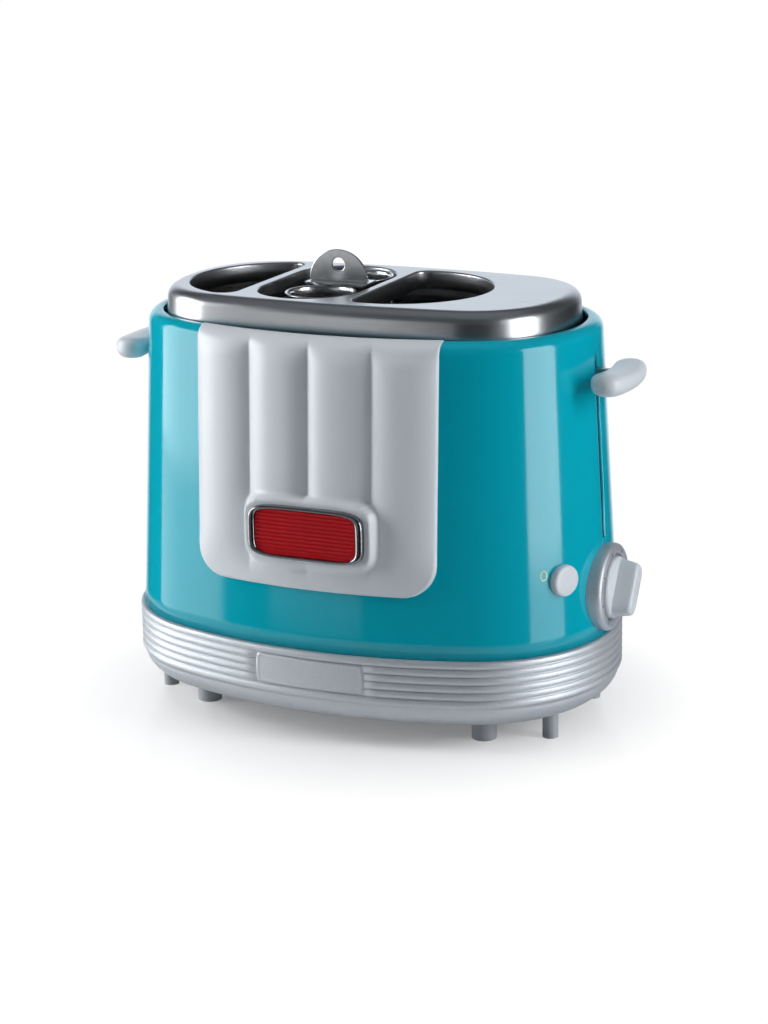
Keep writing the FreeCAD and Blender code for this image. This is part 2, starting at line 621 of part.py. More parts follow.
def base_parts():
    ring = base_ring()
    plate_z = ("ridge_low+%s+fit_gap/2" % RIDGE, "base_top-%s-fit_gap/2" % RIDGE)
    front = block("PlateZone", ("-plate_half-fit_gap", "plate_half+fit_gap"),
                  ("-low_half_depth-10", "-low_half_depth+10"), plate_z)
    keep_in = body("PlateSeat")
    seat = housing_oval(sketch(keep_in, "SeatOutline", "XY_Plane", "ridge_low"), "ridge_depth-ledge+0.2")
    pad(keep_in, "SeatPad", seat, "base_top-ridge_low")
    recess = cut("PlateRecess", front, keep_in)
    keep("base_moulding", cut("Base", ring, recess, tray_slot("TraySlot", "0")))

    face = body("PlateFace")
    skin = housing_oval(sketch(face, "FaceOutline", "XY_Plane", "ridge_low"),
                        "ridge_depth-ledge+0.2-plate_thick")
    pad(face, "FacePad", skin, "base_top-ridge_low")
    room = block("PlateRoom", ("-plate_half", "plate_half"), ("-low_half_depth-10", "-low_half_depth+10"),
                 ("ridge_low+%s+fit_gap" % RIDGE, "base_top-%s-fit_gap" % RIDGE))
    keep("blank_nameplate", cut("Nameplate", common("NameplateFace", face, room), keep_in))

    handle = common("TrayHandle", ring, tray_slot("TrayRoom", "tray_gap"))
    low, top = "ridge_low+0.1", "ridge_low+7"
    pan = block("TrayPan", ("-tray_half+2", "tray_half-2"), ("tray_front", "low_half_depth-6"), (low, top))
    hollow = block("TrayHollow", ("-tray_half+2+tray_wall", "tray_half-2-tray_wall"),
                   ("tray_front+tray_wall", "low_half_depth-6.5"), (low + "+tray_wall", top + "+1"))
    # a finger lip under the middle ridge of the handle
    lip = block("TrayLip", ("-18", "18"), ("low_half_depth-2", "badge_face"),
                ("ridge_low+%s" % RIDGE, "ridge_low+2*%s" % RIDGE))
    keep("crumb_tray", fuse("Tray", handle, lip, cut("TrayShell", pan, hollow)))

    feet = body("FootBody")
    outline = sketch(feet, "FootOutline", "XY_Plane", "foot_tall")
    for x, y in (("-foot_x", "-foot_y"), ("foot_x", "-foot_y"), ("foot_x", "foot_y"), ("-foot_x", "foot_y")):
        circle(outline, x, y, "foot_radius")
    pad(feet, "FootPads", outline, "foot_tall", down=True)
    keep("feet", feet)
    pegs = [rod("Peg%d" % i, "z", x, y, "0", "peg_radius", "foot_tall+4")
            for i, (x, y) in enumerate((x, y) for x in ("-peg_x", "peg_x") for y in ("-peg_y", "peg_y"))]
    keep("end_pegs", cut("Pegs", group("PegRow", *pegs), ring))

    screws = []
    for i, (x, y) in enumerate((x, y) for x in ("-post_x", "post_x") for y in ("-post_y", "post_y")):
        shank = bar("Shank%d" % i, "z", x, y, "foot_tall+2", "screw_radius", "frame_floor+sheet-foot_tall+1")
        head = bar("Head%d" % i, "z", x, y, "foot_tall+0.2", "screw_head", "1.9")
        screws.append(fuse("Screw%d" % i, shank, head))
    keep("base_screws", group("BaseScrews", *screws))


# ---- steel cover ----------------------------------------------------------------------

def dee(item, edge, depth, half, grow, sign):
    """A mouth with one straight edge, one round side and rounded corners."""
    flat = "%s-(%s)*%d" % (edge, grow, sign)
    deep = "%s+(%s)*2" % (depth, grow)
    wide = "%s+(%s)" % (half, grow)
    # the round side is close to half a circle, so it is drawn as two arcs that meet at its tip
    radius = "((%s)^2+(%s)^2)/(2*(%s))" % (wide, deep, deep)
    corner = "mouth_round+(%s)" % grow
    # the corner's centre stands one corner radius from the edge and inside the round side
    centre = "(%s)-(%s)" % (deep, radius)
    along = "sqrt((%s-(%s))^2-(%s-(%s))^2)" % (radius, corner, corner, centre)
    ratio = "((%s)/(%s-(%s)))" % (radius, radius, corner)
    meet_x = "%s+%d*(%s+(%s-(%s))*%s)" % (flat, sign, centre, corner, centre, ratio)
    meet_y = "(%s)*%s" % (along, ratio)
    tip = "%s+%d*(%s)" % (flat, sign, deep)
    side, turn = "%d*(%s)" % (-sign, radius), "%d*(%s)" % (-sign, corner)
    return profile(item, (flat, "-(%s)" % along), (meet_x, "-(%s)" % meet_y, turn), (tip, "0", side),
                   (meet_x, meet_y, side), (flat, along, turn))


def oblong(item, grow):
    """The middle mouth: straight sides and round ends along Y."""
    r = "centre_half+(%s)" % grow
    y = "centre_long-centre_half"
    left, right = "centre_x-(%s)" % r, "centre_x+(%s)" % r
    low, high = "-(%s)-(%s)" % (y, r), "%s+(%s)" % (y, r)
    turn = "-(%s)" % r
    return profile(item, (left, y, turn), (left, "-(%s)" % y), ("centre_x", low, turn),
                   (right, "-(%s)" % y, turn), (right, y), ("centre_x", high, turn))


def mouths(item, grow):
    dee(item, "left_edge", "left_depth", "left_half", grow, -1)
    dee(item, "right_edge", "right_depth", "right_half", grow, 1)
    return oblong(item, grow)


def top_cover():
    owner = body("CoverBody")
    outline = cover_oval(sketch(owner, "CoverOutline", "XY_Plane", "cover_low"), "0")
    turn = "(cover_top-cover_round*(1-sin(cover_slope)))"
    pad(owner, "CoverPad", outline, turn + "-cover_low", taper="-cover_slope")
    round_over(owner, "CoverEdge", cover_oval, "tan(cover_slope)*(%s-cover_low)" % turn, "cover_top",
               "cover_round", start=val("cover_slope"))
    skirt = cover_oval(sketch(owner, "SkirtInside", "XY_Plane", "cover_low"), "cover_sheet")
    pocket(owner, "SkirtCut", skirt, "cover_top-cover_low-cover_round-1", up=True, taper="-cover_slope")
    roof = cover_oval(sketch(owner, "RoofInside", "XY_Plane", "cover_low"),
                      "tan(cover_slope)*(cover_top-cover_low)+cover_round")
    pocket(owner, "RoofCut", roof, "cover_top-cover_low-cover_sheet", up=True)
    collars = mouths(sketch(owner, "Collars", "XY_Plane", "cover_top-collar_deep"), "cover_sheet")
    pad(owner, "CollarPads", collars, "collar_deep-cover_sheet/2")
    holes = mouths(sketch(owner, "Mouths", "XY_Plane", "cover_top-collar_deep-1"), "0")
    pocket(owner, "MouthCut", holes, "collar_deep+3", up=True)
    return keep("top_cover", owner)


# ---- inner frame ----------------------------------------------------------------------

FLOOR_TOP = "frame_floor+sheet"
SLOT = ("-board_slot", "board_slot")


def frame_parts():
    owner = body("FloorBody")
    plate = sketch(owner, "FloorOutline", "XY_Plane", "frame_floor")
    profile(plate, *[(sx + "frame_long" if long else sx + "frame_short",
                      sy + "frame_narrow" if long else sy + "frame_wide")
                     for sx, sy, long in (("-", "-", 0), ("", "-", 0), ("", "-", 1), ("", "", 1),
                                          ("", "", 0), ("-", "", 0), ("-", "", 1), ("-", "-", 1))])
    pad(owner, "FloorPad", plate, "sheet")
    openings = sketch(owner, "FloorOpenings", "XY_Plane", "frame_floor")
    walls = ("board_one", "board_two", "board_three", "board_four")
    for left, right in zip(walls, walls[1:]):
        a, b = left + "+board_thick+2", right + "-2"
        profile(openings, (a, "-board_half+4"), (b, "-board_half+4"), (b, "board_half-4"),
                (a, "board_half-4"))
    pocket(owner, "FloorCut", openings, "sheet", up=True)
    holes = sketch(owner, "FloorHoles", "XY_Plane", "frame_floor")
    for x in ("-post_x", "post_x"):
        for y in ("-post_y", "post_y"):
            circle(holes, x, y, "screw_radius+0.1")
    pocket(owner, "FloorHoleCut", holes, "sheet", up=True)
    keep("frame_floor", owner)

    top = body("TopFrameBody")
    ring = housing_oval(sketch(top, "TopFrameOutline", "XY_Plane", "cover_low-sheet"),
                        "shell_wall+2+" + wall_inset("cover_low"))
    pad(top, "TopFramePad", ring, "sheet")
    hole = sketch(top, "TopFrameHole", "XY_Plane", "cover_low-sheet")
    deep = "left_edge-left_depth"
    profile(hole, (deep, "-left_half+24"), (deep + "+22", "-reflector_y"), ("end_right", "-reflector_y"),
            ("end_right", "reflector_y"), (deep + "+22", "reflector_y"), (deep, "left_half-24"))
    pocket(top, "TopFrameCut", hole, "sheet", up=True)
    keep("top_frame", top)

    for label, x, outward, rod_x in (("end_plate_left", "end_left", -1, "upright_left"),
                                     ("end_plate_right", "end_right", 1, "upright_right")):
        near = x if outward > 0 else x + "-sheet"
        far = x + "+sheet" if outward > 0 else x
        wall = block(label + "_wall", (near, far), ("-end_half", "end_half"), (FLOOR_TOP, "cover_low-sheet"))
        reach = (far, rod_x + "+rod_radius+3") if outward > 0 else (rod_x + "-rod_radius-2", near)
        flange = block(label + "_flange", reach, ("-2", "rod_off+6"), ("rod_flange", "rod_flange+sheet"))
        slot = block(label + "_slot", (near + "-1", far + "+1"), SLOT, (FLOOR_TOP + "-1", "rack_high+4"))
        hole = rod(label + "_hole", "z", rod_x, "rod_off", "rod_flange-1", "rod_radius+rod_gap", "4")
        keep(label, cut(label + "_cut", fuse(label + "_sum", wall, flange), slot, hole))

    for label, y in (("reflector_front", "-reflector_y-reflector_thick"), ("reflector_back", "reflector_y")):
        keep(label, block(label + "_sheet", ("end_left+14", "end_right-1"), (y, y + "+reflector_thick"),
                          (FLOOR_TOP, "cover_low-sheet")))


def heater_parts():
    ribbons = []
    for i, name in enumerate(("board_one", "board_two", "board_three", "board_four")):
        half = "board_half-8" if i == 0 else "board_half"
        sheet_half = block("Mica%d" % i, (name, name + "+board_thick"), ("-(%s)" % half, half),
                           (FLOOR_TOP, "board_top"))
        slot = block("MicaSlot%d" % i, (name + "-1", name + "+board_thick+1"), SLOT,
                     (FLOOR_TOP + "-1", "rack_high+4"))
        keep("heater_board_%d" % (i + 1), cut("Heater%d" % i, sheet_half, slot))
        # ribbon turns lie on the faces that look into a bun well
        faces = {0: ("+board_thick", "+board_thick+wire_thick"), 1: ("-wire_thick", ""),
                 2: ("+board_thick", "+board_thick+wire_thick"), 3: ("-wire_thick", "")}[i]
        for side in ("-", ""):
            for turn in range(int(val("wire_turns"))):
                z = FLOOR_TOP + "+14+%d*(board_top-frame_floor-34)/wire_turns" % turn
                inner, outer = "%s(board_slot+3)" % side, "%s(%s-3)" % (side, half)
                ends = (inner, outer) if side == "" else (outer, inner)
                ribbons.append(block("Ribbon%d%s%d" % (i, "a" if side else "b", turn),
                                     (name + faces[0], name + faces[1]), ends, (z, z + "+wire_wide")))
    keep("heater_ribbons", group("Ribbons", *ribbons))


# ---- carriage -------------------------------------------------------------------------

def rack(label, left, right, half, slots):
    """A pressed tray with turned-up ends and a row of slots for crumbs."""
    owner = body(label + "_body")
    outline = sketch(owner, label + "_outline", "XY_Plane", "rack_high")
    profile(outline, (left, "-(%s)" % half), (right, "-(%s)" % half), (right, half), (left, half))
    pad(owner, label + "_pad", outline, "rack_lip")
    trough = sketch(owner, label + "_trough", "YZ_Plane", "(%s)-1" % left)
    edge, low = "(%s)-rack_sheet" % half, "rack_high+rack_sheet"
    profile(trough, ("-(%s)" % edge, low), (edge, low), (edge, "rack_high+rack_lip+1"),
            ("-(%s)" % edge, "rack_high+rack_lip+1"))
    pocket(owner, label + "_trough_cut", trough, "(%s)-(%s)+2" % (right, left), up=True)
    slot = sketch(owner, label + "_slot", "XY_Plane", "rack_high-1")
    pitch = "(2*(%s)-12)/%d" % (half, slots)
    start = "-(%s)+7" % half
    near, far, end = "(%s)+7" % left, "(%s)-7" % right, start + "+(%s)/2" % pitch
    profile(slot, (near, start), (far, start), (far, end), (near, end))
    first = pocket(owner, label + "_slot_cut", slot, "rack_sheet+2", up=True)
    row_of(owner, label + "_slots", [first], "Y_Axis", pitch, str(slots))
    return keep(label, owner)


def carriage_parts():
    half = "spine_thick/2"
    left_in, right_in = "upright_left+upright_wide/2", "upright_right-upright_wide/2"
    keep("carriage_spine", block("Spine", (left_in, right_in), ("-" + half, half),
                                 ("rack_high-spine_tall", "rack_high")))
    rack("bun_rack_left", "board_one+board_thick+2.5", "board_two-2.5", "board_half-2", 5)
    rack("basket_rest", "board_two+board_thick+2.5", "board_three-2.5", "board_half+0.5", 5)
    rack("bun_rack_right", "board_three+board_thick+2.5", "board_four-2.5", "board_half-2", 5)
    for label, x, sign in (("bracket_left", "upright_left", -1), ("bracket_right", "upright_right", 1)):
        owner = body(label + "_body")
        outline = sketch(owner, label + "_outline", "XZ_Plane")
        inner = "%s-(%d)*upright_wide/2" % (x, sign)
        outer = "%s+(%d)*upright_wide/2" % (x, sign)
        tip = "%d*arm_end" % sign
        low, arm_low, arm_top = "rack_high-spine_tall-2", "arm_high-arm_tall/2", "arm_high+arm_tall/2"
        profile(outline, (inner, low), (outer, low), (outer, arm_low), (tip, arm_low), (tip, arm_top),
                (inner, arm_top))
        pad(owner, label + "_pad", outline, "spine_thick", both=True)
        keep(label, owner)
        bush = block(label + "_bush", (x + "-5", x + "+5"), (half, "rod_off+5"),
                     ("rack_high-spine_tall", "rack_high-spine_tall+bush_tall"))
        bore = rod(label + "_bore", "z", x, "rod_off", "rack_high-spine_tall-1", "rod_radius+rod_gap",
                   "bush_tall+2")
        side = label.split("_")[1]
        keep("slide_bush_" + side, cut(label + "_bush_cut", bush, bore))
        keep("guide_rod_" + side, rod(label + "_rod", "z", x, "rod_off", FLOOR_TOP, "rod_radius",
                                      "rod_flange+sheet+2-frame_floor-sheet"))
        low = "rack_high-spine_tall+bush_tall+fit_gap"
        coil = bar(label + "_coil", "z", x, "rod_off", low, "rod_radius+2", "rod_flange-fit_gap-(%s)" % low)
        core = bar(label + "_core", "z", x, "rod_off", low + "-1", "rod_radius+0.8", "rod_flange")
        keep("lift_spring_" + side, cut(label + "_spring", coil, core))
        paddle("lever_paddle_" + side, sign)
    keep("latch_keeper", block("Keeper", ("upright_right-upright_wide", "upright_right+upright_wide"),
                               ("-28", "-" + half), ("rack_high+16.8", "rack_high+18.3")))


def paddle(label, sign):
    """A thick finger paddle, hollowed to pass the housing at the foot of its stroke."""
    owner = body(label + "_body")
    outline = sketch(owner, label + "_outline", "XY_Plane", "arm_high-paddle_tall/2")
    # the ends are rounded by circles that touch the hollow, which follows the housing, and the bow
    r, hub, bow_x = "paddle_round", "(low_half_length-low_end)", "(paddle_far-paddle_bow)"
    far, near, span = "(paddle_bow-paddle_round)", "(paddle_hollow+paddle_round)", "(%s-%s)" % (bow_x, hub)
    along = "((%s^2-%s^2+%s^2)/(2*%s))" % (near, far, span, span)
    up = "sqrt(%s^2-%s^2)" % (near, along)
    end_x = "%d*(%s+%s)" % (sign, hub, along)
    in_x, in_y = "%d*(%s+%s*paddle_hollow/%s)" % (sign, hub, along, near), "%s*paddle_hollow/%s" % (up, near)
    meet_x = "%d*(%s+(%s-%s)*paddle_bow/%s)" % (sign, bow_x, along, span, far)
    meet_y = "%s*paddle_bow/%s" % (up, far)
    turn = "%d*(%s)" % (-sign, r)
    bow = "%d*paddle_bow" % -sign
    hollow = "%d*paddle_hollow" % sign
    profile(outline, (in_x, in_y, turn), (in_x, "-" + in_y, hollow), (end_x, "-(%s+%s)" % (up, r), turn),
            (meet_x, "-" + meet_y, turn), (meet_x, meet_y, bow), (end_x, "%s+%s" % (up, r), turn))
    solid = pad(owner, label + "_pad", outline, "paddle_tall")
    doc.recompute()
    rims = edges_at(solid, "arm_high+paddle_tall/2")
    soften(owner, label + "_edge", solid, rims, "paddle_edge", "Chamfer")
    socket = sketch(owner, label + "_socket", "YZ_Plane", "%d*(arm_end-socket_deep)" % sign)
    half, up = "spine_thick/2", "arm_tall/2"
    profile(socket, ("-" + half, "arm_high-" + up), (half, "arm_high-" + up), (half, "arm_high+" + up),
            ("-" + half, "arm_high+" + up))
    pocket(owner, label + "_socket_cut", socket, "socket_deep", up=sign > 0)
    return keep(label, owner)


# ---- basket ---------------------------------------------------------------------------

def basket_parts():
    low = "rack_high+rack_sheet+fit_gap"
    wire = "wire_radius"
    pieces = []
    for k, y in enumerate(("-ring_y", "ring_y")):
        bands = []
        for band, z, tall in (("Rim", "ring_top-ring_tall", "ring_tall"), ("Foot", low, "2*wire_radius")):
            outside = bar("%s%d" % (band, k), "z", "basket_x", y, z, "ring_radius", tall, 24)
            inside = bar("%sHole%d" % (band, k), "z", "basket_x", y, z + "-1", "ring_radius-ring_wall",
                         tall + "+2", 24)
            bands.append(cut("%sBand%d" % (band, k), outside, inside))
        pieces += bands
        count = int(val("basket_wires"))
        for i in range(count):
            angle = 360.0 * (i + 0.5) / count
            x = "basket_x+(ring_radius-ring_wall/2-0.1)*cos(%g)" % angle
            yy = "%s+(ring_radius-ring_wall/2-0.1)*sin(%g)" % (y, angle)
            pieces.append(bar("BasketWire%d_%d" % (k, i), "z", x, yy, low + "+" + wire, wire,
                              "ring_top-ring_tall+1-(%s)-%s" % (low, wire)))
        crosses = (("x", "basket_x-ring_radius+1", y), ("y", "basket_x", y + "-ring_radius+1"))
        for i, (axis, x, yy) in enumerate(crosses):
            pieces.append(bar("BasketCross%d_%d" % (k, i), axis, x, yy, low + "+" + wire, wire,
                              "2*ring_radius-2"))
    keep("basket_cage", fuse("Cage", *pieces))

    plate = block("BridgePlate", ("basket_x-tab_half", "basket_x+tab_half"), ("-bridge_half", "bridge_half"),
                  ("ring_top", "ring_top+sheet"))
    keep("basket_bridge", plate)
    owner = body("TabBody")
    half = "tab_half"
    foot = "ring_top+sheet"
    outline = sketch(owner, "TabOutline", "XZ_Plane")
    profile(outline, ("basket_x-" + half, foot, "-" + half), ("basket_x+" + half, foot),
            ("basket_x", foot + "+" + half, "-" + half))
    pad(owner, "TabPad", outline, "tab_thick", both=True)
    hole = circle(sketch(owner, "TabHole", "XZ_Plane"), "basket_x", foot + "+tab_hole_up", "tab_hole")
    pocket(owner, "TabCut", hole, "tab_thick+1", both=True)
    keep("basket_tab", owner)


# ---- controls -------------------------------------------------------------------------

def knob_parts():
    wall_x = "(low_half_length-wall_lean*(knob_high-base_top))"
    spun = body("DialBody")
    section = sketch(spun, "DialSection", "XZ_Plane")
    face = "ring_face"
    back, floor_z, bore = wall_x + "-12", wall_x + "+1.6", "shaft_radius+1.5"
    profile(section, (bore, back), ("ring_outer", back), ("ring_outer", face + "-ring_bevel"),
            ("ring_outer-ring_bevel", face), ("dish_radius", face), ("dish_radius", floor_z), (bore, floor_z))
    spin(spun, "DialSpin", section)
    doc.recompute()
    spun.Placement = FreeCAD.Placement(Vec(0, 0, val("knob_high")), AXES["x"])
    bind(spun, Placement__Base__z="knob_high")
    skin = body("DialSeat")
    drum(skin, "DialSeatDrum", "-fit_gap/2", "base_top", "rim_top")
    floor = block("DialFloor", ("low_half_length-20", "low_half_length+20"), ("-40", "40"),
                  ("20", "base_top+0.2"))
    keep("dial_ring", cut("Dial", spun, skin, floor))

    knob = body("KnobBody")
    disc = sketch(knob, "KnobSection", "XZ_Plane")
    back = "ring_face-2.2"
    profile(disc, ("0", back), ("knob_radius", back), ("knob_radius", back + "+knob_disc-1"),
            ("knob_radius-1", back + "+knob_disc"), ("0", back + "+knob_disc"))
    spin(knob, "KnobSpin", disc)
    grip = sketch(knob, "Grip", "XY_Plane", back + "+knob_disc-1")
    wide, long = "grip_wide/2", "grip_half"
    profile(grip, ("-" + wide, "-" + long), (wide, "-" + long), (wide, long), ("-" + wide, long))
    handle = pad(knob, "GripPad", grip, "knob_far-(%s)-knob_disc+1" % back, taper="-4")
    soften(knob, "GripEdge", handle, edges_at(handle, "knob_far"), "1.2", "Chamfer")
    bore = circle(sketch(knob, "KnobBore", "XY_Plane", back), "0", "0", "shaft_radius+shaft_gap")
    pocket(knob, "KnobBoreCut", bore, "knob_disc+5", up=True)
    doc.recompute()
    turned = AXES["x"].multiply(FreeCAD.Rotation(Vec(0, 0, 1), 90 - val("grip_turn")))
    knob.Placement = FreeCAD.Placement(Vec(0, 0, val("knob_high")), turned)
    bind(knob, Placement__Base__z="knob_high")
    keep("browning_knob", knob)

    card_face = "board_x+card_thick"
    keep("knob_shaft", rod("KnobShaft", "x", card_face + "+2", "0", "knob_high", "shaft_radius",
                           "ring_face-(%s)" % card_face))
    pot = block("PotBody", (card_face, card_face + "+8"), ("-pot_half", "pot_half"),
                ("knob_high-pot_half", "knob_high+pot_half"))
    hole = rod("PotBore", "x", card_face + "+1", "0", "knob_high", "shaft_radius+shaft_gap", "8")
    keep("browning_control", cut("Pot", pot, hole))


def button_parts():
    """The stop button, its stem and switch share one axis, square to the housing there."""
    cap = body("ButtonBody")
    section = sketch(cap, "ButtonSection", "XZ_Plane")
    back = "-shell_wall-1.2"
    profile(section, ("0", back + "-8"), ("stem_radius", back + "-8"), ("stem_radius", back + "-1.6"),
            ("button_radius+1.6", back + "-1.6"), ("button_radius+1.6", back), ("button_radius", back),
            ("button_radius", "button_proud-1.2"),
            ("button_radius-1.2", "button_proud"), ("0", "button_proud"))
    spin(cap, "ButtonSpin", section)
    doc.recompute()
    cap.Placement = BUTTON
    keep("stop_button", cap)

    # the switch stands on the control board, so it is cut square to it
    switch = body("SwitchBody")
    outline = sketch(switch, "SwitchOutline", "XY_Plane", back + "-6.5")
    profile(outline, ("-5", "-5"), ("5", "-5"), ("5", "5"), ("-5", "5"))
    pad(switch, "SwitchPad", outline, "14", down=True)
    bore = circle(sketch(switch, "SwitchBore", "XY_Plane", back + "-6.5"), "0", "0",
                  "stem_radius+shaft_gap*2")
    pocket(switch, "SwitchBoreCut", bore, "button_travel+2.5")
    doc.recompute()
    switch.Placement = BUTTON
    behind = block("SwitchTrim", ("board_x-30", "board_x+card_thick"), ("-90", "10"),
                   ("button_high-20", "button_high+20"))
    keep("stop_switch", cut("Switch", switch, behind))


def control_parts():
    keep("control_board", block("Card", ("board_x", "board_x+card_thick"), ("-card_half-6", "card_half-8"),
                                ("card_low", "card_high")))
    across = ("card_half-22", "card_half-10")
    foot = block("CardFoot", ("board_x-12", "board_x-fit_gap/3"), across, (FLOOR_TOP, "frame_floor+sheet*2"))
    wall = block("CardWall", ("board_x-sheet-fit_gap/3", "board_x-fit_gap/3"), across,
                 (FLOOR_TOP, "card_low+10"))
    keep("board_bracket", fuse("CardBracket", foot, wall))
    x, y = ("upright_right-7", "upright_right+7"), ("-28", "-12")
    coil = block("Coil", x, y, (FLOOR_TOP, "frame_floor+sheet+18"))
    yoke = block("Yoke", ("upright_right-3", "upright_right+3"), ("-23", "-17"),
                 ("frame_floor+sheet+18", "rack_high+16.8-travel-0.5"))
    keep("holding_magnet", fuse("Magnet", coil, yoke))
    low = (FLOOR_TOP, "frame_floor+sheet+12")
    keep("power_contacts", block("ContactBlock", ("end_right+sheet+3", "end_right+sheet+13"),
                                 ("-end_half-3", "-end_half+9"), low))
    keep("terminal_block", block("Terminals", ("terminal_x-12", "terminal_x+12"),
                                 ("board_half+8", "board_half+18"), low))


housing_shell()
front_ribbed_panel()
badge()
base_parts()
top_cover()
frame_parts()
heater_parts()
carriage_parts()
basket_parts()
knob_parts()
button_parts()
control_parts()

doc.recompute()
for item in doc.Objects:
    if "Invalid" in item.State or "Error" in item.State:
        raise RuntimeError("%s failed: %s" % (item.Name, item.State))
for label, item in NODES.items():
    if item.Shape.isNull() or not item.Shape.isValid() or not item.Shape.Solids:
        raise RuntimeError("%s has no valid solid" % label)

os.makedirs("parts", exist_ok=True)
for label, item in NODES.items():
    item.Shape.exportStep("parts/%s.step" % label)
    print("%-22s %2d solids %10.1f mm3" % (label, len(item.Shape.Solids), item.Shape.Volume))
print(len(NODES), "nodes")
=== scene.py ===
import json
import math

import bmesh
import bpy
import numpy as np
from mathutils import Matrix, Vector


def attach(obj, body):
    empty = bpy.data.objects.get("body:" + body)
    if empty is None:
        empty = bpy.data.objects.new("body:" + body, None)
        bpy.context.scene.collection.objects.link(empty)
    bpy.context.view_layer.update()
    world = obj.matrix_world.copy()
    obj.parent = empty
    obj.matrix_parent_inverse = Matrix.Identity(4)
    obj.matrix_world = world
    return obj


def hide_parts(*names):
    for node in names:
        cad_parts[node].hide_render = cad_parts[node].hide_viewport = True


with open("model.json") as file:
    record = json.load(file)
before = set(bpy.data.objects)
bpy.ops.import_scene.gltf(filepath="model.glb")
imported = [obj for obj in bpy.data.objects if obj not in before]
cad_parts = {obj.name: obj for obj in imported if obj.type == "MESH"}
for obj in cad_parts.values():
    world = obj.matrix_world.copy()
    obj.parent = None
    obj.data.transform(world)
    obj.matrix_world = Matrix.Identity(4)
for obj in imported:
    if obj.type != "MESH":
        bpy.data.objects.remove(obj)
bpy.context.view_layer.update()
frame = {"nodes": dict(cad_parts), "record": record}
mm = 0.001
print("frame loaded")


# meshes and profiles that several pieces share

def makeObject(name, points, faces, body, material, smooth=True):
    # points are in millimetres, and the finished mesh is in metres
    mesh = bpy.data.meshes.new(name)
    mesh.from_pydata((np.asarray(points, float).reshape(-1, 3) * mm).tolist(), [], faces)
    mesh.polygons.foreach_set("use_smooth", np.full(len(mesh.polygons), smooth))
    mesh.materials.append(material)
    obj = bpy.data.objects.new(name, mesh)
    bpy.context.scene.collection.objects.link(obj)
    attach(obj, body)
    return obj


def gridFaces(rows, columns, closed=False, skip=None):
    # quads between neighbouring rows and columns, without the cells that skip marks
    r, c = np.meshgrid(np.arange(rows - 1), np.arange(columns if closed else columns - 1), indexing="ij")
    right = (c + 1) % columns
    row, above = r * columns, (r + 1) * columns
    quads = np.stack([row + c, row + right, above + right, above + c], -1).reshape(-1, 4)
    if skip is not None:
        quads = quads[~skip.reshape(-1)]
    return quads.tolist()


def flipped(faces):
    # the same faces, turned to point the other way
    return [face[::-1] for face in faces]


def addCap(faces, start, count, flip=False):
    # one flat face over a closed row
    ring = list(range(start, start + count))
    faces.append(ring[::-1] if flip else ring)


def finish(obj, wall, bevel=0.0):
    # a wall that grows inwards from the surface, and rounded edges where a bevel is given
    solid = obj.modifiers.new("wall", "SOLIDIFY")
    solid.thickness = wall * mm
    solid.offset = -1
    if bevel:
        edge = obj.modifiers.new("edge", "BEVEL")
        edge.width = bevel * mm
        edge.segments = 2
        edge.limit_method = "ANGLE"
        edge.angle_limit = math.radians(35)


def weld(obj, reach=0.01):
    # merge points that lie together and drop the empty faces this leaves
    merge = bmesh.new()
    merge.from_mesh(obj.data)
    bmesh.ops.remove_doubles(merge, verts=merge.verts[:], dist=reach * mm)
    bmesh.ops.dissolve_degenerate(merge, dist=reach * mm * 0.1, edges=merge.edges[:])
    merge.to_mesh(obj.data)
    merge.free()


def joinParts(parts):
    # stack (points, faces) pairs into one list of points and faces
    points, faces, count = [], [], 0
    for pts, fcs in parts:
        pts = np.asarray(pts, float).reshape(-1, 3)
        points.append(pts)
        faces += [[i + count for i in f] for f in fcs]
        count += len(pts)
    return np.vstack(points), faces


def arc(x, y, radius, start, stop, count, more=()):
    # points of a circle from one angle up to, but without, another, each with its direction
    t = np.unique(np.concatenate([np.linspace(start, stop, count), more]))
    t = t[(t >= start - 1e-9) & (t < stop - 1e-6)]
    way = np.stack([np.cos(t), np.sin(t)], 1)
    return [x, y] + radius * way, way


def ovalPath(halfLength, halfDepth, bow, end, corner, extra=()):
    # eight tangent arcs, walked anticlockwise from the right end; each point comes with its outward
    # direction, so an outline set in by d is the point less d times that direction
    sideX, frontY = halfLength - end, halfDepth - bow
    span = math.hypot(sideX, frontY)
    ux, uy = sideX / span, -frontY / span
    # a corner's centre is end - corner from the end's centre, and bow - corner from the bow's centre
    along = ((bow - corner) ** 2 - (end - corner) ** 2 + span ** 2) / (2 * span)
    off = math.sqrt((bow - corner) ** 2 - along ** 2)
    cx, cy = ux * along + uy * off, frontY + uy * along - ux * off
    tEnd = math.atan2(cy, cx - sideX)
    tBow = math.atan2(cy - frontY, cx)
    pi, more = math.pi, np.asarray(extra)
    runs = [arc(sideX, 0, end, -tEnd, tEnd, 25, more), arc(cx, cy, corner, tEnd, tBow, 25),
            arc(0, frontY, bow, tBow, pi - tBow, 41), arc(-cx, cy, corner, pi - tBow, pi - tEnd, 25),
            arc(-sideX, 0, end, pi - tEnd, pi + tEnd, 25, pi + more),
            arc(-cx, -cy, corner, pi + tEnd, pi + tBow, 25),
            arc(0, -frontY, bow, pi + tBow, 2 * pi - tBow, 41),
            arc(cx, -cy, corner, 2 * pi - tBow, 2 * pi - tEnd, 25)]
    return np.vstack([run[0] for run in runs]), np.vstack([run[1] for run in runs])


def ringsAlong(path, normal, insets, heights):
    # a profile of (inset, height) carried along a closed path: one ring of points per profile point
    insets, heights = np.asarray(insets, float), np.asarray(heights, float)
    flat = path[None] - normal[None] * insets[:, None, None]
    tall = np.repeat(heights[:, None, None], len(path), 1)
    return np.concatenate([flat, tall], 2)


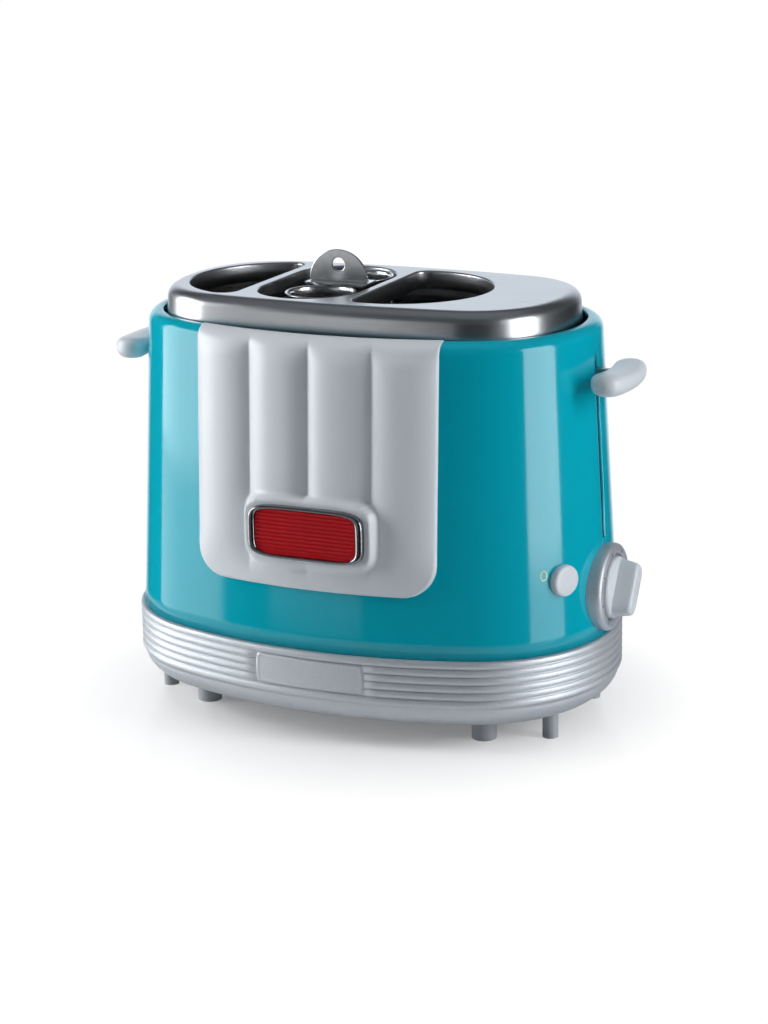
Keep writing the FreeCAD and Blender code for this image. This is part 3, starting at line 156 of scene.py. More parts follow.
def turned(profile, sides=64, axis="z", centre=(0, 0, 0)):
    # a profile of (radius, height) turned about an axis; a radius of nought closes at a point
    profile = np.asarray(profile, float)
    a = np.linspace(0, 2 * math.pi, sides, endpoint=False)
    r, h = profile[:, 0, None], profile[:, 1, None]
    u, v, w = r * np.cos(a), r * np.sin(a), h + 0 * a
    order = {"z": (u, v, w), "x": (w, u, v)}[axis]
    points = np.stack(order, -1) + np.asarray(centre, float)
    return points, gridFaces(len(profile), sides, closed=True)


def tubeAlong(points, radius, sides=8, closed=False):
    # a round wire along points: at each one a circle square to the run, turned as little as possible
    points = np.asarray(points, float)
    ahead = np.roll(points, -1, 0) - np.roll(points, 1, 0)
    if not closed:
        ahead[0], ahead[-1] = points[1] - points[0], points[-1] - points[-2]
    ahead /= np.linalg.norm(ahead, axis=1)[:, None]
    base = np.array([0.0, 0, 1]) if abs(ahead[:, 2]).mean() < 0.7 else np.array([1.0, 0, 0])
    one = np.cross(ahead, base)
    one /= np.linalg.norm(one, axis=1)[:, None]
    two = np.cross(ahead, one)
    a = np.linspace(0, 2 * math.pi, sides, endpoint=False)
    circles = np.cos(a)[None, :, None] * one[:, None] - np.sin(a)[None, :, None] * two[:, None]
    rings = points[:, None] + radius * circles
    faces = gridFaces(len(points), sides, closed=True)
    last = (len(points) - 1) * sides
    if closed:
        faces += [[last + i, last + (i + 1) % sides, (i + 1) % sides, i] for i in range(sides)]
    else:
        addCap(faces, 0, sides, flip=True)
        addCap(faces, last, sides)
    return rings.reshape(-1, 3), faces


def roundedOblong(theta, a, b, power):
    # the superellipse with half axes a and b: |x/a| and |y/b|, each to the power, add up to one
    c, s = np.cos(theta), np.sin(theta)
    r = (abs(c / a) ** power + abs(s / b) ** power) ** (-1 / power)
    return r * c, r * s


def smoothStep(value):
    # from nought to one with level ends: three squares less two cubes
    value = np.clip(value, 0, 1)
    return value * value * (3 - 2 * value)


def roundOver(gap, radius):
    # a quarter circle, from nought at an edge to one at a radius away from it
    return np.sqrt(1 - (1 - np.clip(gap / radius, 0, 1)) ** 2)


# finishes

def newMaterial(name):
    mat = bpy.data.materials.new(name)
    mat.use_nodes = True
    return mat, mat.node_tree, mat.node_tree.nodes["Principled BSDF"]


def noiseOn(tree, scale, detail=3.0, stretch=None):
    # noise on object coordinates, stretched where a stretch is given
    where = tree.nodes.new("ShaderNodeTexCoord")
    noise = tree.nodes.new("ShaderNodeTexNoise")
    noise.inputs["Scale"].default_value = scale
    noise.inputs["Detail"].default_value = detail
    out = where.outputs["Object"]
    if stretch:
        mapping = tree.nodes.new("ShaderNodeMapping")
        mapping.inputs["Scale"].default_value = stretch
        tree.links.new(out, mapping.inputs["Vector"])
        out = mapping.outputs["Vector"]
    tree.links.new(out, noise.inputs["Vector"])
    return noise.outputs["Fac"]


def mapRange(tree, value, low, high, fromLow=0.3, fromHigh=0.7):
    node = tree.nodes.new("ShaderNodeMapRange")
    node.inputs["From Min"].default_value = fromLow
    node.inputs["From Max"].default_value = fromHigh
    node.inputs["To Min"].default_value = low
    node.inputs["To Max"].default_value = high
    tree.links.new(value, node.inputs["Value"])
    return node.outputs["Result"]


def mixColours(tree, factor, one, two):
    node = tree.nodes.new("ShaderNodeMix")
    node.data_type = "RGBA"
    node.inputs[6].default_value = (*one, 1)
    node.inputs[7].default_value = (*two, 1)
    tree.links.new(factor, node.inputs[0])
    return node.outputs[2]


def bumpFrom(tree, value, shader, strength, distance):
    bump = tree.nodes.new("ShaderNodeBump")
    bump.inputs["Strength"].default_value = strength
    bump.inputs["Distance"].default_value = distance * mm
    tree.links.new(value, bump.inputs["Height"])
    tree.links.new(bump.outputs["Normal"], shader.inputs["Normal"])


def plastic(name, colour, darker, rough=(0.16, 0.24), coat=0.0, grain=0.02, scale=600, gloss=0.5):
    # moulded plastic: a faint slow drift of colour, a roughness that wanders a little and a fine skin
    mat, tree, shader = newMaterial(name)
    drift = mapRange(tree, noiseOn(tree, 9, detail=1), 0, 1)
    tree.links.new(mixColours(tree, drift, colour, darker), shader.inputs["Base Color"])
    tree.links.new(mapRange(tree, noiseOn(tree, 25, detail=2), *rough), shader.inputs["Roughness"])
    shader.inputs["Coat Weight"].default_value = coat
    shader.inputs["Coat Roughness"].default_value = 0.06
    shader.inputs["Specular IOR Level"].default_value = gloss
    bumpFrom(tree, noiseOn(tree, scale, detail=2), shader, 0.25, grain)
    return mat


def metal(name, colour, darker, rough=(0.2, 0.3), stretch=None, scale=300, grain=0.01, strength=0.3,
          metallic=1.0):
    # metal: streaked or grained by noise that is stretched along the working direction
    mat, tree, shader = newMaterial(name)
    streak = noiseOn(tree, scale, 5, stretch)
    shade = mixColours(tree, mapRange(tree, streak, 0, 1), colour, darker)
    tree.links.new(shade, shader.inputs["Base Color"])
    tree.links.new(mapRange(tree, streak, *rough), shader.inputs["Roughness"])
    shader.inputs["Metallic"].default_value = metallic
    if strength:
        bumpFrom(tree, streak, shader, strength, grain)
    return mat


teal = plastic("tealShell", (0.0, 0.380, 0.500), (0.0, 0.370, 0.485), rough=(0.09, 0.12), grain=0.003)
white = plastic("whitePlastic", (0.65, 0.69, 0.735), (0.64, 0.68, 0.725), rough=(0.30, 0.35), grain=0.006,
                gloss=0.4)
silver = metal("silverPaint", (0.60, 0.635, 0.68), (0.57, 0.605, 0.65), rough=(0.50, 0.56), scale=900,
               strength=0.1, metallic=0.75)
steel = metal("brushedCover", (0.625, 0.645, 0.67), (0.585, 0.60, 0.625), rough=(0.285, 0.335),
              stretch=(0.03, 1, 1), scale=900, strength=0)
chrome = metal("brightTrim", (0.30, 0.305, 0.325), (0.26, 0.265, 0.285), rough=(0.14, 0.20), scale=200,
               grain=0.002, strength=0.1)
bright = metal("basketSteel", (0.70, 0.715, 0.735), (0.62, 0.635, 0.655), rough=(0.20, 0.26), scale=300,
               grain=0.002, strength=0.1)
zinc = metal("zincSheet", (0.50, 0.51, 0.53), (0.40, 0.41, 0.44), rough=(0.28, 0.42), scale=120)
springSteel = metal("springSteel", (0.42, 0.42, 0.44), (0.34, 0.34, 0.36), rough=(0.25, 0.35))
heater = metal("heaterRibbon", (0.28, 0.25, 0.23), (0.20, 0.18, 0.17), rough=(0.4, 0.5))
mica = plastic("micaSheet", (0.34, 0.30, 0.24), (0.26, 0.23, 0.19), rough=(0.35, 0.5), grain=0.05, scale=300)
black = plastic("blackPlastic", (0.012, 0.012, 0.013), (0.018, 0.018, 0.019), rough=(0.4, 0.5))
laminate = plastic("boardLaminate", (0.20, 0.13, 0.06), (0.16, 0.10, 0.05), rough=(0.5, 0.6))
footGrey = plastic("footGrey", (0.40, 0.42, 0.455), (0.36, 0.38, 0.415), rough=(0.4, 0.5))
redLens = plastic("redLens", (0.46, 0.003, 0.009), (0.38, 0.002, 0.007), rough=(0.12, 0.16), coat=0.15,
                  grain=0.002, gloss=0.3)
ink = plastic("paleInk", (0.62, 0.72, 0.40), (0.60, 0.70, 0.38), rough=(0.4, 0.5))
darkInk = plastic("darkInk", (0.10, 0.10, 0.11), (0.12, 0.12, 0.13), rough=(0.4, 0.5))

slotMaterials = {"teal_plastic": teal, "white_plastic": white, "bright_trim": chrome, "red_lens": redLens,
                 "silver_paint": silver, "grey_foot": footGrey, "zinc_steel": zinc, "brushed_cover": steel,
                 "mica": mica, "heater_wire": heater, "spring_steel": springSteel, "bright_steel": bright,
                 "black_plastic": black, "board_laminate": laminate}
for part in frame["record"]["subparts"]:
    node = frame["nodes"][part["node"]]
    for place in node.material_slots:
        place.material = slotMaterials[part["material_slot"]]
print("materials made")


# housing shell; levels are the heights of further rings up the wall

housing = {"halfLength": 134.5, "halfDepth": 88.0, "bow": 260.0, "end": 88.0, "corner": 75.0,
           "low": 51.0, "rim": 215.3, "lean": 0.0542, "shoulder": 6.5, "lip": 7.9, "lipRound": 0.8,
           "lipDeep": 3.0, "wall": 2.4, "slotHalf": 2.3, "slotLow": 102.0, "slotHigh": 197.0,
           "slotBeyond": 60.0, "levels": (60.0, 80.0, 125.0, 150.0, 175.0, 203.0)}


def housingPath(extra=()):
    h = housing
    return ovalPath(h["halfLength"], h["halfDepth"], h["bow"], h["end"], h["corner"], extra)


def leanAt(z):
    # how far the leaning wall stands in at a height
    return housing["lean"] * (np.asarray(z, float) - housing["low"])


def bowFront(x, out):
    # y of the bowed front at x, where the wall is set out by some distance
    h = housing
    return (h["bow"] - h["halfDepth"]) - np.sqrt((h["bow"] + out) ** 2 - x ** 2)


def shellProfile():
    # (inset, height) up the leaning wall, round the shoulder and in along the lip to its rounded edge
    h = housing
    level = np.sort([h["low"], h["slotLow"], h["slotHigh"], *h["levels"]])
    wall = np.stack([leanAt(level), level], 1)
    top = h["rim"] - h["shoulder"]
    t = np.linspace(0.0, math.pi / 2, 9)
    turn = np.stack([leanAt(top) + h["shoulder"] * (1 - np.cos(t)), top + h["shoulder"] * np.sin(t)], 1)
    inner, r = leanAt(h["rim"]) + h["lip"], h["lipRound"]
    edge = np.array([[inner - r, h["rim"]], [inner - 0.3125 * r, h["rim"] - 0.25 * r], [inner, h["rim"] - r],
                     [inner, h["rim"] - h["lipDeep"]]])
    return np.vstack([wall, turn, edge])


def buildShell():
    h = housing
    side = math.asin(h["slotHalf"] / h["end"])
    path, normal = housingPath(extra=(-side, side))
    profile = shellProfile()
    rings = ringsAlong(path, normal, profile[:, 0], profile[:, 1])
    # the cells left out at both ends are the slots that the paddles run in
    middle = (path + np.roll(path, -1, 0)) / 2
    level = (profile[:-1, 1] + profile[1:, 1]) / 2
    inSlot = (abs(middle[:, 1]) < h["slotHalf"]) & (abs(middle[:, 0]) > h["slotBeyond"])
    skip = inSlot[None] & ((level > h["slotLow"]) & (level < h["slotHigh"]))[:, None]
    faces = gridFaces(len(profile), len(path), closed=True, skip=skip)
    shell = makeObject("shell", rings, faces, "housing", teal)
    finish(shell, h["wall"])
    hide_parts("housing_shell")


buildShell()
print("shell made")


# front panel and badge

panel = {"half": 69.0, "low": 83.5, "corner": 18.0, "proud": 0.5, "wall": 1.6, "edge": 1.6, "sink": 1.8,
         "lipGap": 1.0, "ribs": 4, "rise": 4.2, "ribPower": 2.4, "footRise": 0.45, "fadeLow": 86.0,
         "fadeHigh": 112.0, "overTop": 14.0, "topFlat": 3.0, "shoulder": 3.5, "padTop": 160.0, "padSeat": 0.6}
# bezel rows: how far the outline grows, how deep it lies behind the face, how much its ends are drawn in
badge = {"centre": (1.6, 115.0), "long": 59.0, "tall": 22.0, "bow": 3.2, "power": 5.2, "face": -93.2,
         "deep": 4.0, "pad": 3.5, "padFrom": 0.99, "padOver": 0.09, "grooves": 12, "groove": 0.55,
         "grooveFade": 30, "lensBack": 1.5, "lensInset": 1.6, "lensEnds": 3.4, "lensReach": 0.985,
         "lensWall": 0.8,
         "bezel": ((0.0, 1.3, 0), (-0.25, 0.5, 0), (-0.8, 0.1, 0), (-1.1, 0, 1.2), (-1.5, 0.15, 2.2),
                   (-1.9, 0.9, 2.6), (-1.9, 3.0, 2.6))}


def badgeHalf(grow=0.0):
    # half the length and height of the badge's outline, with the bow of its sides
    return badge["long"] / 2 + badge["bow"] + grow, badge["tall"] / 2 + badge["bow"] + grow


def buildPanel():
    p, h = panel, housing
    top = h["rim"] - h["shoulder"]
    # rows: a close set round the foot's corners, then up the wall, over the shoulder and in
    foot = p["low"] + p["corner"] * (1 - np.cos(np.linspace(0, math.pi / 2, 14)))
    wall = np.unique(np.concatenate([foot, np.linspace(p["low"] + p["corner"], top, 70)]))
    t = np.linspace(0, math.pi / 2, 12)[1:]
    inset = np.concatenate([leanAt(wall), leanAt(top) + h["shoulder"] * (1 - np.cos(t)),
                            [leanAt(h["rim"]) + h["lip"] - p["lipGap"]]])
    height = np.concatenate([wall, top + h["shoulder"] * np.sin(t), [h["rim"]]])
    outward = np.concatenate([np.ones(len(wall)), np.cos(t), [0.0]])[:, None]
    upward = np.concatenate([np.zeros(len(wall)), np.sin(t), [1.0]])[:, None]
    run = np.concatenate([[0], np.cumsum(np.hypot(np.diff(inset), np.diff(height)))])
    cut = np.clip(p["corner"] - (height - p["low"]), 0, p["corner"])
    wide = p["half"] - p["corner"] + np.sqrt(np.maximum(p["corner"] ** 2 - cut ** 2, 0))
    x = wide[:, None] * np.linspace(-1, 1, 221)
    z = height[:, None] + 0 * x
    # distance to the panel's own edge: its sides, its foot and its round corners
    side, foot = p["half"] - abs(x), z - p["low"]
    cornerGap = p["corner"] - np.hypot(np.maximum(p["corner"] - side, 0), np.maximum(p["corner"] - foot, 0))
    gap = np.where((side < p["corner"]) & (foot < p["corner"]), cornerGap, np.minimum(side, foot))
    rolled = roundOver(gap, p["edge"])
    # convex ribs that meet in creases, fading out near the foot and over the top
    pitch = 2 * p["half"] / p["ribs"]
    rib = 1 - (abs(((x / pitch) % 1.0) - 0.5) * 2) ** p["ribPower"]
    fade = smoothStep((z - p["fadeLow"]) / (p["fadeHigh"] - p["fadeLow"]))
    overTop = smoothStep((run[-1] - run - p["topFlat"]) / p["overTop"])[:, None]
    ribOut = p["rise"] * (rib * fade + p["footRise"] * (1 - fade)) * overTop * roundOver(side, p["shoulder"])
    # the pad that carries the badge: a level plane inside an outline like the badge's own
    a, b = badgeHalf(badge["pad"])
    bx, bz = x - badge["centre"][0], z - badge["centre"][1]
    reach = (abs(bx / a) ** badge["power"] + abs(bz / b) ** badge["power"]) ** (1 / badge["power"])
    padOut = (1 - np.clip((reach - badge["padFrom"]) / badge["padOver"], 0, 1)) ** 2
    plane = p["padSeat"] - badge["face"] - badge["deep"] + bowFront(x, -leanAt(z))
    out = p["proud"] - p["sink"] * (1 - rolled) + ribOut * rolled
    out = out + np.maximum(plane - out, 0) * padOut * (height[:, None] < p["padTop"])
    points = np.stack([x, bowFront(x, out * outward - inset[:, None]), z + out * upward], -1)
    obj = makeObject("ribbedPanel", points, gridFaces(*x.shape), "housing", white)
    finish(obj, p["wall"])
    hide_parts("front_ribbed_panel")


buildPanel()
print("panel made")


def buildBadge():
    b = badge
    cx, cz = b["centre"]
    halfLong, halfTall = badgeHalf()
    theta = np.linspace(0, 2 * math.pi, 160, endpoint=False)

    def ring(grow, depth, ends):
        # the outline at a depth behind the face, drawn in at its ends by the sixth power of the length
        x, z = roundedOblong(theta, *badgeHalf(grow), b["power"])
        pull = 1 - ends * (abs(x) / halfLong) ** 6 / (b["long"] / 2)
        return np.stack([cx + x * pull, np.full_like(x, b["face"] + depth), cz + z], 1)

    rows = [ring(*row) for row in ((0.0, b["deep"], 0), *b["bezel"])]
    faces = flipped(gridFaces(len(rows), len(theta), closed=True))
    bezel = makeObject("badgeBezel", np.stack(rows), faces, "housing", chrome)
    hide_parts("badge_bezel")
    # the lens is a plate with level grooves, a cosine up its height, inside the bezel's inner outline
    across, up = np.linspace(-1, 1, 97), np.linspace(-1, 1, 145)
    half = (halfLong - b["lensEnds"]) * (1 - abs(up * b["lensReach"]) ** b["power"]) ** (1 / b["power"])
    x = half[:, None] * across
    z = (up * (halfTall - b["lensInset"]))[:, None] + 0 * x
    wave = 0.5 - 0.5 * np.cos(math.pi * (up + 1) * b["grooves"])
    deep = b["groove"] * wave[:, None] * np.clip((1 - abs(across)) * b["grooveFade"], 0, 1)
    points = np.stack([cx + x, b["face"] + b["lensBack"] - deep, cz + z], -1)
    lens = makeObject("badgeLens", points, gridFaces(*x.shape), "housing", redLens)
    finish(lens, b["lensWall"])
    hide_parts("badge_lens")


buildBadge()
print("badge made")


# base moulding and nameplate

base = {"ledge": 2.5, "lip": 1.0, "inner": 3.5, "innerLow": 30.0, "ridges": 6, "ridgeRows": 12, "depth": 1.5,
        "ridgePower": 0.8, "low": 25.5, "top": 51.0, "floor": 12.0, "reach": 18.0}
plate = {"half": 32.0, "seatGap": 0.5, "sink": 0.2, "gap": 0.3, "endGap": 1.6, "endBow": 0.045, "proud": 0.9,
         "edge": 0.5, "rim": 0.35, "rimIn": 0.9}


def buildBase():
    b = base
    path, normal = housingPath()
    pitch = (b["top"] - b["low"]) / b["ridges"]
    # from the inner wall over the top, down the rounded ridges and round the bowl to the floor
    z = np.linspace(b["top"], b["low"], b["ridges"] * b["ridgeRows"] + 1)
    s = ((b["top"] - z) / pitch) % 1.0
    ridge = np.sqrt(np.maximum(1 - (2 * s - 1) ** 2, 0)) ** b["ridgePower"]
    wallIn = -b["ledge"] + b["depth"] * (1 - ridge)
    t = np.linspace(0, math.pi / 2, 14)[1:]
    bowlIn = -b["ledge"] + b["depth"] + (b["reach"] - b["depth"]) * (1 - np.cos(t))
    bowlZ = b["low"] - (b["low"] - b["floor"]) * np.sin(t)
    insets = np.concatenate([[b["inner"], b["inner"], -b["lip"]], wallIn, bowlIn])
    heights = np.concatenate([[b["innerLow"], b["top"], b["top"]], z, bowlZ])
    rings = ringsAlong(path, normal, insets, heights)
    # the nameplate's seat: ridges between the top and bottom ones are flattened
    x, y, level = rings[..., 0], rings[..., 1], rings[..., 2]
    inSeat = (abs(x) < plate["half"] + plate["seatGap"]) & (y < 0)
    inSeat &= (level > b["low"] + pitch) & (level < b["top"] - pitch)
    deepest = path - normal * (b["depth"] - b["ledge"] + plate["sink"])
    rings[..., :2] = np.where(inSeat[..., None], deepest[None], rings[..., :2])
    faces = flipped(gridFaces(len(rings), len(path), closed=True))
    addCap(faces, (len(rings) - 1) * len(path), len(path), flip=True)
    obj = makeObject("ridgedBase", rings, faces, "housing", silver)
    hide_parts("base_moulding")


def buildPlate():
    # a blank plate on the bowed front, with curved ends and a fine raised rim
    b, p = base, plate
    pitch = (b["top"] - b["low"]) / b["ridges"]
    across, up = np.linspace(-1, 1, 61), np.linspace(0, 1, 25)
    lowZ, highZ = b["low"] + pitch + p["gap"], b["top"] - pitch - p["gap"]
    endBow = 1 + p["endBow"] * (1 - (2 * up - 1) ** 2)
    x = across * (p["half"] - p["endGap"]) * endBow[:, None]
    z = (lowZ + (highZ - lowZ) * up)[:, None] + 0 * x
    edge = np.minimum((1 - abs(across)) * p["half"], (np.minimum(up, 1 - up) * (highZ - lowZ))[:, None])
    rim = np.clip(1 - abs(edge - p["rimIn"]) / p["rimIn"], 0, 1)
    out = b["ledge"] - b["depth"] - p["sink"] + p["proud"] * np.clip(edge / p["edge"], 0, 1) + p["rim"] * rim
    obj = makeObject("blankNameplate", np.stack([x, bowFront(x, out), z], -1), gridFaces(*x.shape), "housing",
                     silver)
    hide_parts("blank_nameplate")


buildBase()
buildPlate()
print("base made")


# steel cover; a side mouth is its straight side's place, its depth and its half width, and the centre one is
# its middle, its radius and its half length

cover = {"halfLength": 114.0, "halfDepth": 62.3, "bow": 606.0, "end": 87.3, "corner": 47.3, "low": 208.0,
         "top": 229.0, "slope": 3.0, "round": 7.0, "sheet": 1.0, "collar": 10.0, "collarStep": 3.0,
         "lipRound": 1.2, "level": 0.3, "apart": 0.02, "mouthRound": 8.0,
         "left": (-60.5, 43.0, 49.5), "right": (7.5, 59.0, 46.5), "centre": (-26.0, 28.0, 49.5)}


def deePath(edge, depth, half, sign, corner):
    # a mouth with a straight side and a round side, its corners rounded, as a closed path with directions
    radius = (half * half + depth * depth) / (2 * depth)
    centre = depth - radius
    # corner circles touch the straight side and the round side
    up = math.sqrt((radius - corner) ** 2 - (corner - centre) ** 2)
    turn = math.atan2(up, corner - centre)
    path, normal = [], []
    for x, y, r, start, stop, count in ((centre, 0.0, radius, -turn, turn, 48),
                                        (corner, up, corner, turn, math.pi, 12),
                                        (corner, -up, corner, math.pi, 2 * math.pi - turn, 12)):
        t = np.linspace(start, stop, count)
        way = np.stack([np.cos(t), np.sin(t)], 1)
        path.append([x, y] + r * way)
        normal.append(way)
    path, normal = np.vstack(path), np.vstack(normal)
    if sign < 0:
        path, normal = path[::-1] * [-1, 1], normal[::-1] * [-1, 1]
    return path + [edge, 0], normal


def oblongPath(centreX, radius, half):
    # two half circles joined by straight sides
    t = np.linspace(0, math.pi, 28)
    way = np.stack([np.cos(t), np.sin(t)], 1)
    upper = radius * way + [0, half - radius]
    return np.vstack([upper, -upper]) + [centreX, 0], np.vstack([way, -way])


def fillRoof(loops):
    # the flat roof between the rim and the mouths, its triangles turned to face up
    roof = bmesh.new()
    for loop in loops:
        apart = np.linalg.norm(loop - np.roll(loop, 1, 0), axis=1) > cover["apart"]
        verts = [roof.verts.new(p) for p in loop[apart]]
        for a, b in zip(verts, verts[1:] + verts[:1]):
            roof.edges.new((a, b))
    bmesh.ops.triangle_fill(roof, use_beauty=True, edges=roof.edges[:], normal=(0, 0, 1))
    roof.verts.index_update()
    points = np.array([v.co[:] for v in roof.verts])
    faces = np.array([[v.index for v in f.verts] for f in roof.faces])
    roof.free()
    first, second, third = points[faces].transpose(1, 0, 2)
    down = np.cross(second - first, third - first)[:, 2] <= 0
    faces[down] = faces[down, ::-1]
    return points, faces.tolist()


def buildCover():
    c = cover
    path, normal = ovalPath(c["halfLength"], c["halfDepth"], c["bow"], c["end"], c["corner"])
    slope = math.radians(c["slope"])
    turnZ = c["top"] - c["round"] * (1 - math.sin(slope))
    turnIn = math.tan(slope) * (turnZ - c["low"])
    t = np.linspace(slope, math.pi / 2, 12)
    roundIn = turnIn + c["round"] * (math.cos(slope) - np.cos(t))
    roundZ = c["top"] - c["round"] * (1 - np.sin(t))
    # a flat ring inside each edge keeps the roof's shading level right up to its curves
    insets = np.concatenate([[0.0, turnIn * 0.5], roundIn, [roundIn[-1] + c["level"]]])
    heights = np.concatenate([[c["low"], (c["low"] + turnZ) / 2], roundZ, [c["top"]]])
    rim = ringsAlong(path, normal, insets, heights)
    parts, loops = [(rim, gridFaces(len(rim), len(path), closed=True))], [rim[-1]]
    # each mouth has a rounded lip and a collar that hangs from it
    r = c["lipRound"]
    t = np.linspace(0, math.pi / 2, 7)
    out = np.concatenate([[r + c["level"]], r * (1 - np.sin(t)), [0.0, 0.0]])
    z = np.concatenate([[c["top"]], c["top"] - r * (1 - np.cos(t)),
                        [c["top"] - r - c["collarStep"], c["top"] - c["collar"]]])
    for mouth, way in (deePath(*c["left"], -1, c["mouthRound"]), deePath(*c["right"], 1, c["mouthRound"]),
                       oblongPath(*c["centre"])):
        rings = ringsAlong(mouth, way, -out, z)
        parts.append((rings, gridFaces(len(rings), len(mouth), closed=True)))
        loops.append(rings[0])
    points, faces = joinParts(parts + [fillRoof(loops)])
    obj = makeObject("steelCover", points, faces, "housing", steel)
    weld(obj)
    finish(obj, c["sheet"])
    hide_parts("top_cover")


buildCover()
print("cover made")


# lever paddles

paddle = {"far": 150.0, "bow": 80.0, "hub": 46.5, "hollow": 85.2, "round": 8.9, "low": 183.0, "tall": 12.0,
          "under": 5.4, "over": 4.6, "crown": 0.5, "dip": 0.9, "dipHalf": 22.0, "closest": 0.96}


def paddleOutline():
    # a band between an arc that follows the housing and a rounder bow, its ends closed by circles that
    # touch both; each point comes with the point of the middle line that it faces
    p = paddle
    bowX = p["far"] - p["bow"]
    near, far, span = p["hollow"] + p["round"], p["bow"] - p["round"], bowX - p["hub"]
    along = (near ** 2 - far ** 2 + span ** 2) / (2 * span)
    up = math.sqrt(near ** 2 - along ** 2)
    aHollow = math.atan2(up, along)
    aBow = math.atan2(up, along - span)
    endX = p["hub"] + along
    path = []
    for x, y, r, start, stop, count in ((bowX, 0, p["bow"], -aBow, aBow, 41),
                                        (endX, up, p["round"], aBow, math.pi + aHollow, 25),
                                        (p["hub"], 0, p["hollow"], aHollow, -aHollow, 31),
                                        (endX, -up, p["round"], math.pi - aHollow, 2 * math.pi - aBow, 25)):
        t = np.linspace(start, stop, count)[:-1]
        path.append(np.stack([x + r * np.cos(t), y + r * np.sin(t)], 1))
    path = np.vstack(path)
    y = np.clip(path[:, 1], -up, up)
    outer = bowX + np.sqrt(p["bow"] ** 2 - y ** 2)
    inner = p["hub"] + np.sqrt(p["hollow"] ** 2 - y ** 2)
    x = np.where(abs(path[:, 1]) < up, (outer + inner) / 2, endX)
    return path, np.stack([x, y], 1)


def buildPaddle(side, sign):
    # a bean: rings that shrink towards the middle line, the edges a quarter of an ellipse below and above
    p = paddle
    path, middle = paddleOutline()
    bottom, top = p["low"], p["low"] + p["tall"]
    t = np.linspace(0, math.pi / 2, 14)
    lower = np.stack([p["under"] * (1 - np.sin(t)), bottom + p["under"] * (1 - np.cos(t))], 1)
    upper = np.stack([p["over"] * (1 - np.cos(t)), top - p["crown"] - p["over"] * (1 - np.sin(t))], 1)
    reach = np.linalg.norm(middle - path, axis=1)
    rings = []
    for inset, z in np.vstack([lower, upper]):
        step = np.minimum(inset / reach, p["closest"])[:, None]
        rings.append(np.column_stack([path + (middle - path) * step, np.full(len(path), z)]))
    # a nearly flat underside and a low crown over the top, both closed on the middle line
    first, last = rings[0].copy(), rings[-1][:, :2]
    first[:, :2] = middle
    for f in (0.35, 0.7, 1.0):
        z = top - p["crown"] * (1 - math.sin(f * math.pi / 2))
        rings.append(np.column_stack([last + (middle - last) * f, np.full(len(path), z)]))
    rings = np.stack([first] + rings)
    # the top sinks towards the middle of its length, so the two ends stand up a little
    lift = np.clip((rings[..., 2] - bottom) / p["tall"], 0, 1)
    rings[..., 2] -= lift * p["dip"] * np.clip(1 - (rings[..., 1] / p["dipHalf"]) ** 2, 0, 1)
    faces = gridFaces(len(rings), len(path), closed=True)
    if sign < 0:
        rings, faces = rings * [-1, 1, 1], flipped(faces)
    obj = makeObject("leverPaddle" + side.title(), rings, faces, "carriage", white)
    weld(obj)
    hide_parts("lever_paddle_" + side)


buildPaddle("right", 1)
buildPaddle("left", -1)
print("paddles made")


# browning knob and dial; the grip's levels run from the disc to the far end, with its size at each

dial = {"high": 75.5, "outer": 23.5, "face": 138.0, "dish": 18.0, "hole": 4.5, "floor": 1.6, "sunk": 4.0,
        "clear": 0.3}
knob = {"disc": 16.5, "back": 135.8, "discThick": 4.0, "crown": 0.3, "far": 150.0, "gripHalf": 15.2,
        "gripWide": 12.4, "power": 4.5, "turn": 32.0, "thinner": 0.55,
        "levels": (-0.06, 0.0, 0.15, 0.5, 0.80, 0.90, 0.96, 0.99, 1.0),
        "sizes": (1.02, 1.0, 0.985, 0.95, 0.915, 0.885, 0.83, 0.76, 0.66)}
dialMarks = {"first": -150.0, "last": 120.0, "count": 7, "inner": 18.9, "outer": 20.6, "half": 0.35,
             "sunk": 0.05, "proud": 0.08}


def buildDial():
    # a dished ring turned about the knob's axis, its foot cut level just above the base
    d = dial
    wall = housing["halfLength"] - leanAt(d["high"])
    dish, outer, face = d["dish"], d["outer"], d["face"]
    # radius and place along the axis, from the hole over the dish and round the outer edge
    profile = [(d["hole"], wall + d["floor"]), (dish - 0.6, wall + d["floor"]),
               (dish, wall + d["floor"] + 0.6), (dish, face - 0.5), (dish + 0.5, face), (outer - 2.2, face),
               (outer - 1.4, face - 0.15), (outer - 0.5, face - 0.9), (outer - 0.05, face - 2.2),
               (outer, face - 4), (outer, wall - d["sunk"])]
    points, faces = turned(profile, 96, "x", (0, 0, d["high"]))
    points[..., 2] = np.maximum(points[..., 2], base["top"] + d["clear"])
    obj = makeObject("dialRing", points, faces, "housing", silver)
    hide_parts("dial_ring")


def buildDialMarks():
    # short bars round the dial, from the knob's lowest setting to its highest
    m = dialMarks
    inner, outer, half = m["inner"], m["outer"], m["half"]
    back, front = dial["face"] - m["sunk"], dial["face"] + m["proud"]
    parts = []
    for angle in np.radians(np.linspace(m["first"], m["last"], m["count"])):
        along = np.array([math.sin(angle), math.cos(angle)])
        across = np.array([along[1], -along[0]])
        spots = ((inner, -half), (outer, -half), (outer, half), (inner, half))
        corners = [along * r + across * w for r, w in spots]
        points = [(x, c[0], dial["high"] + c[1]) for x in (back, front) for c in corners]
        faces = [[0, 1, 2, 3], [7, 6, 5, 4], [0, 4, 5, 1], [1, 5, 6, 2], [2, 6, 7, 3], [3, 7, 4, 0]]
        parts.append((points, faces))
    points, faces = joinParts(parts)
    makeObject("dialMarks", points, faces, "housing", darkInk, smooth=False)


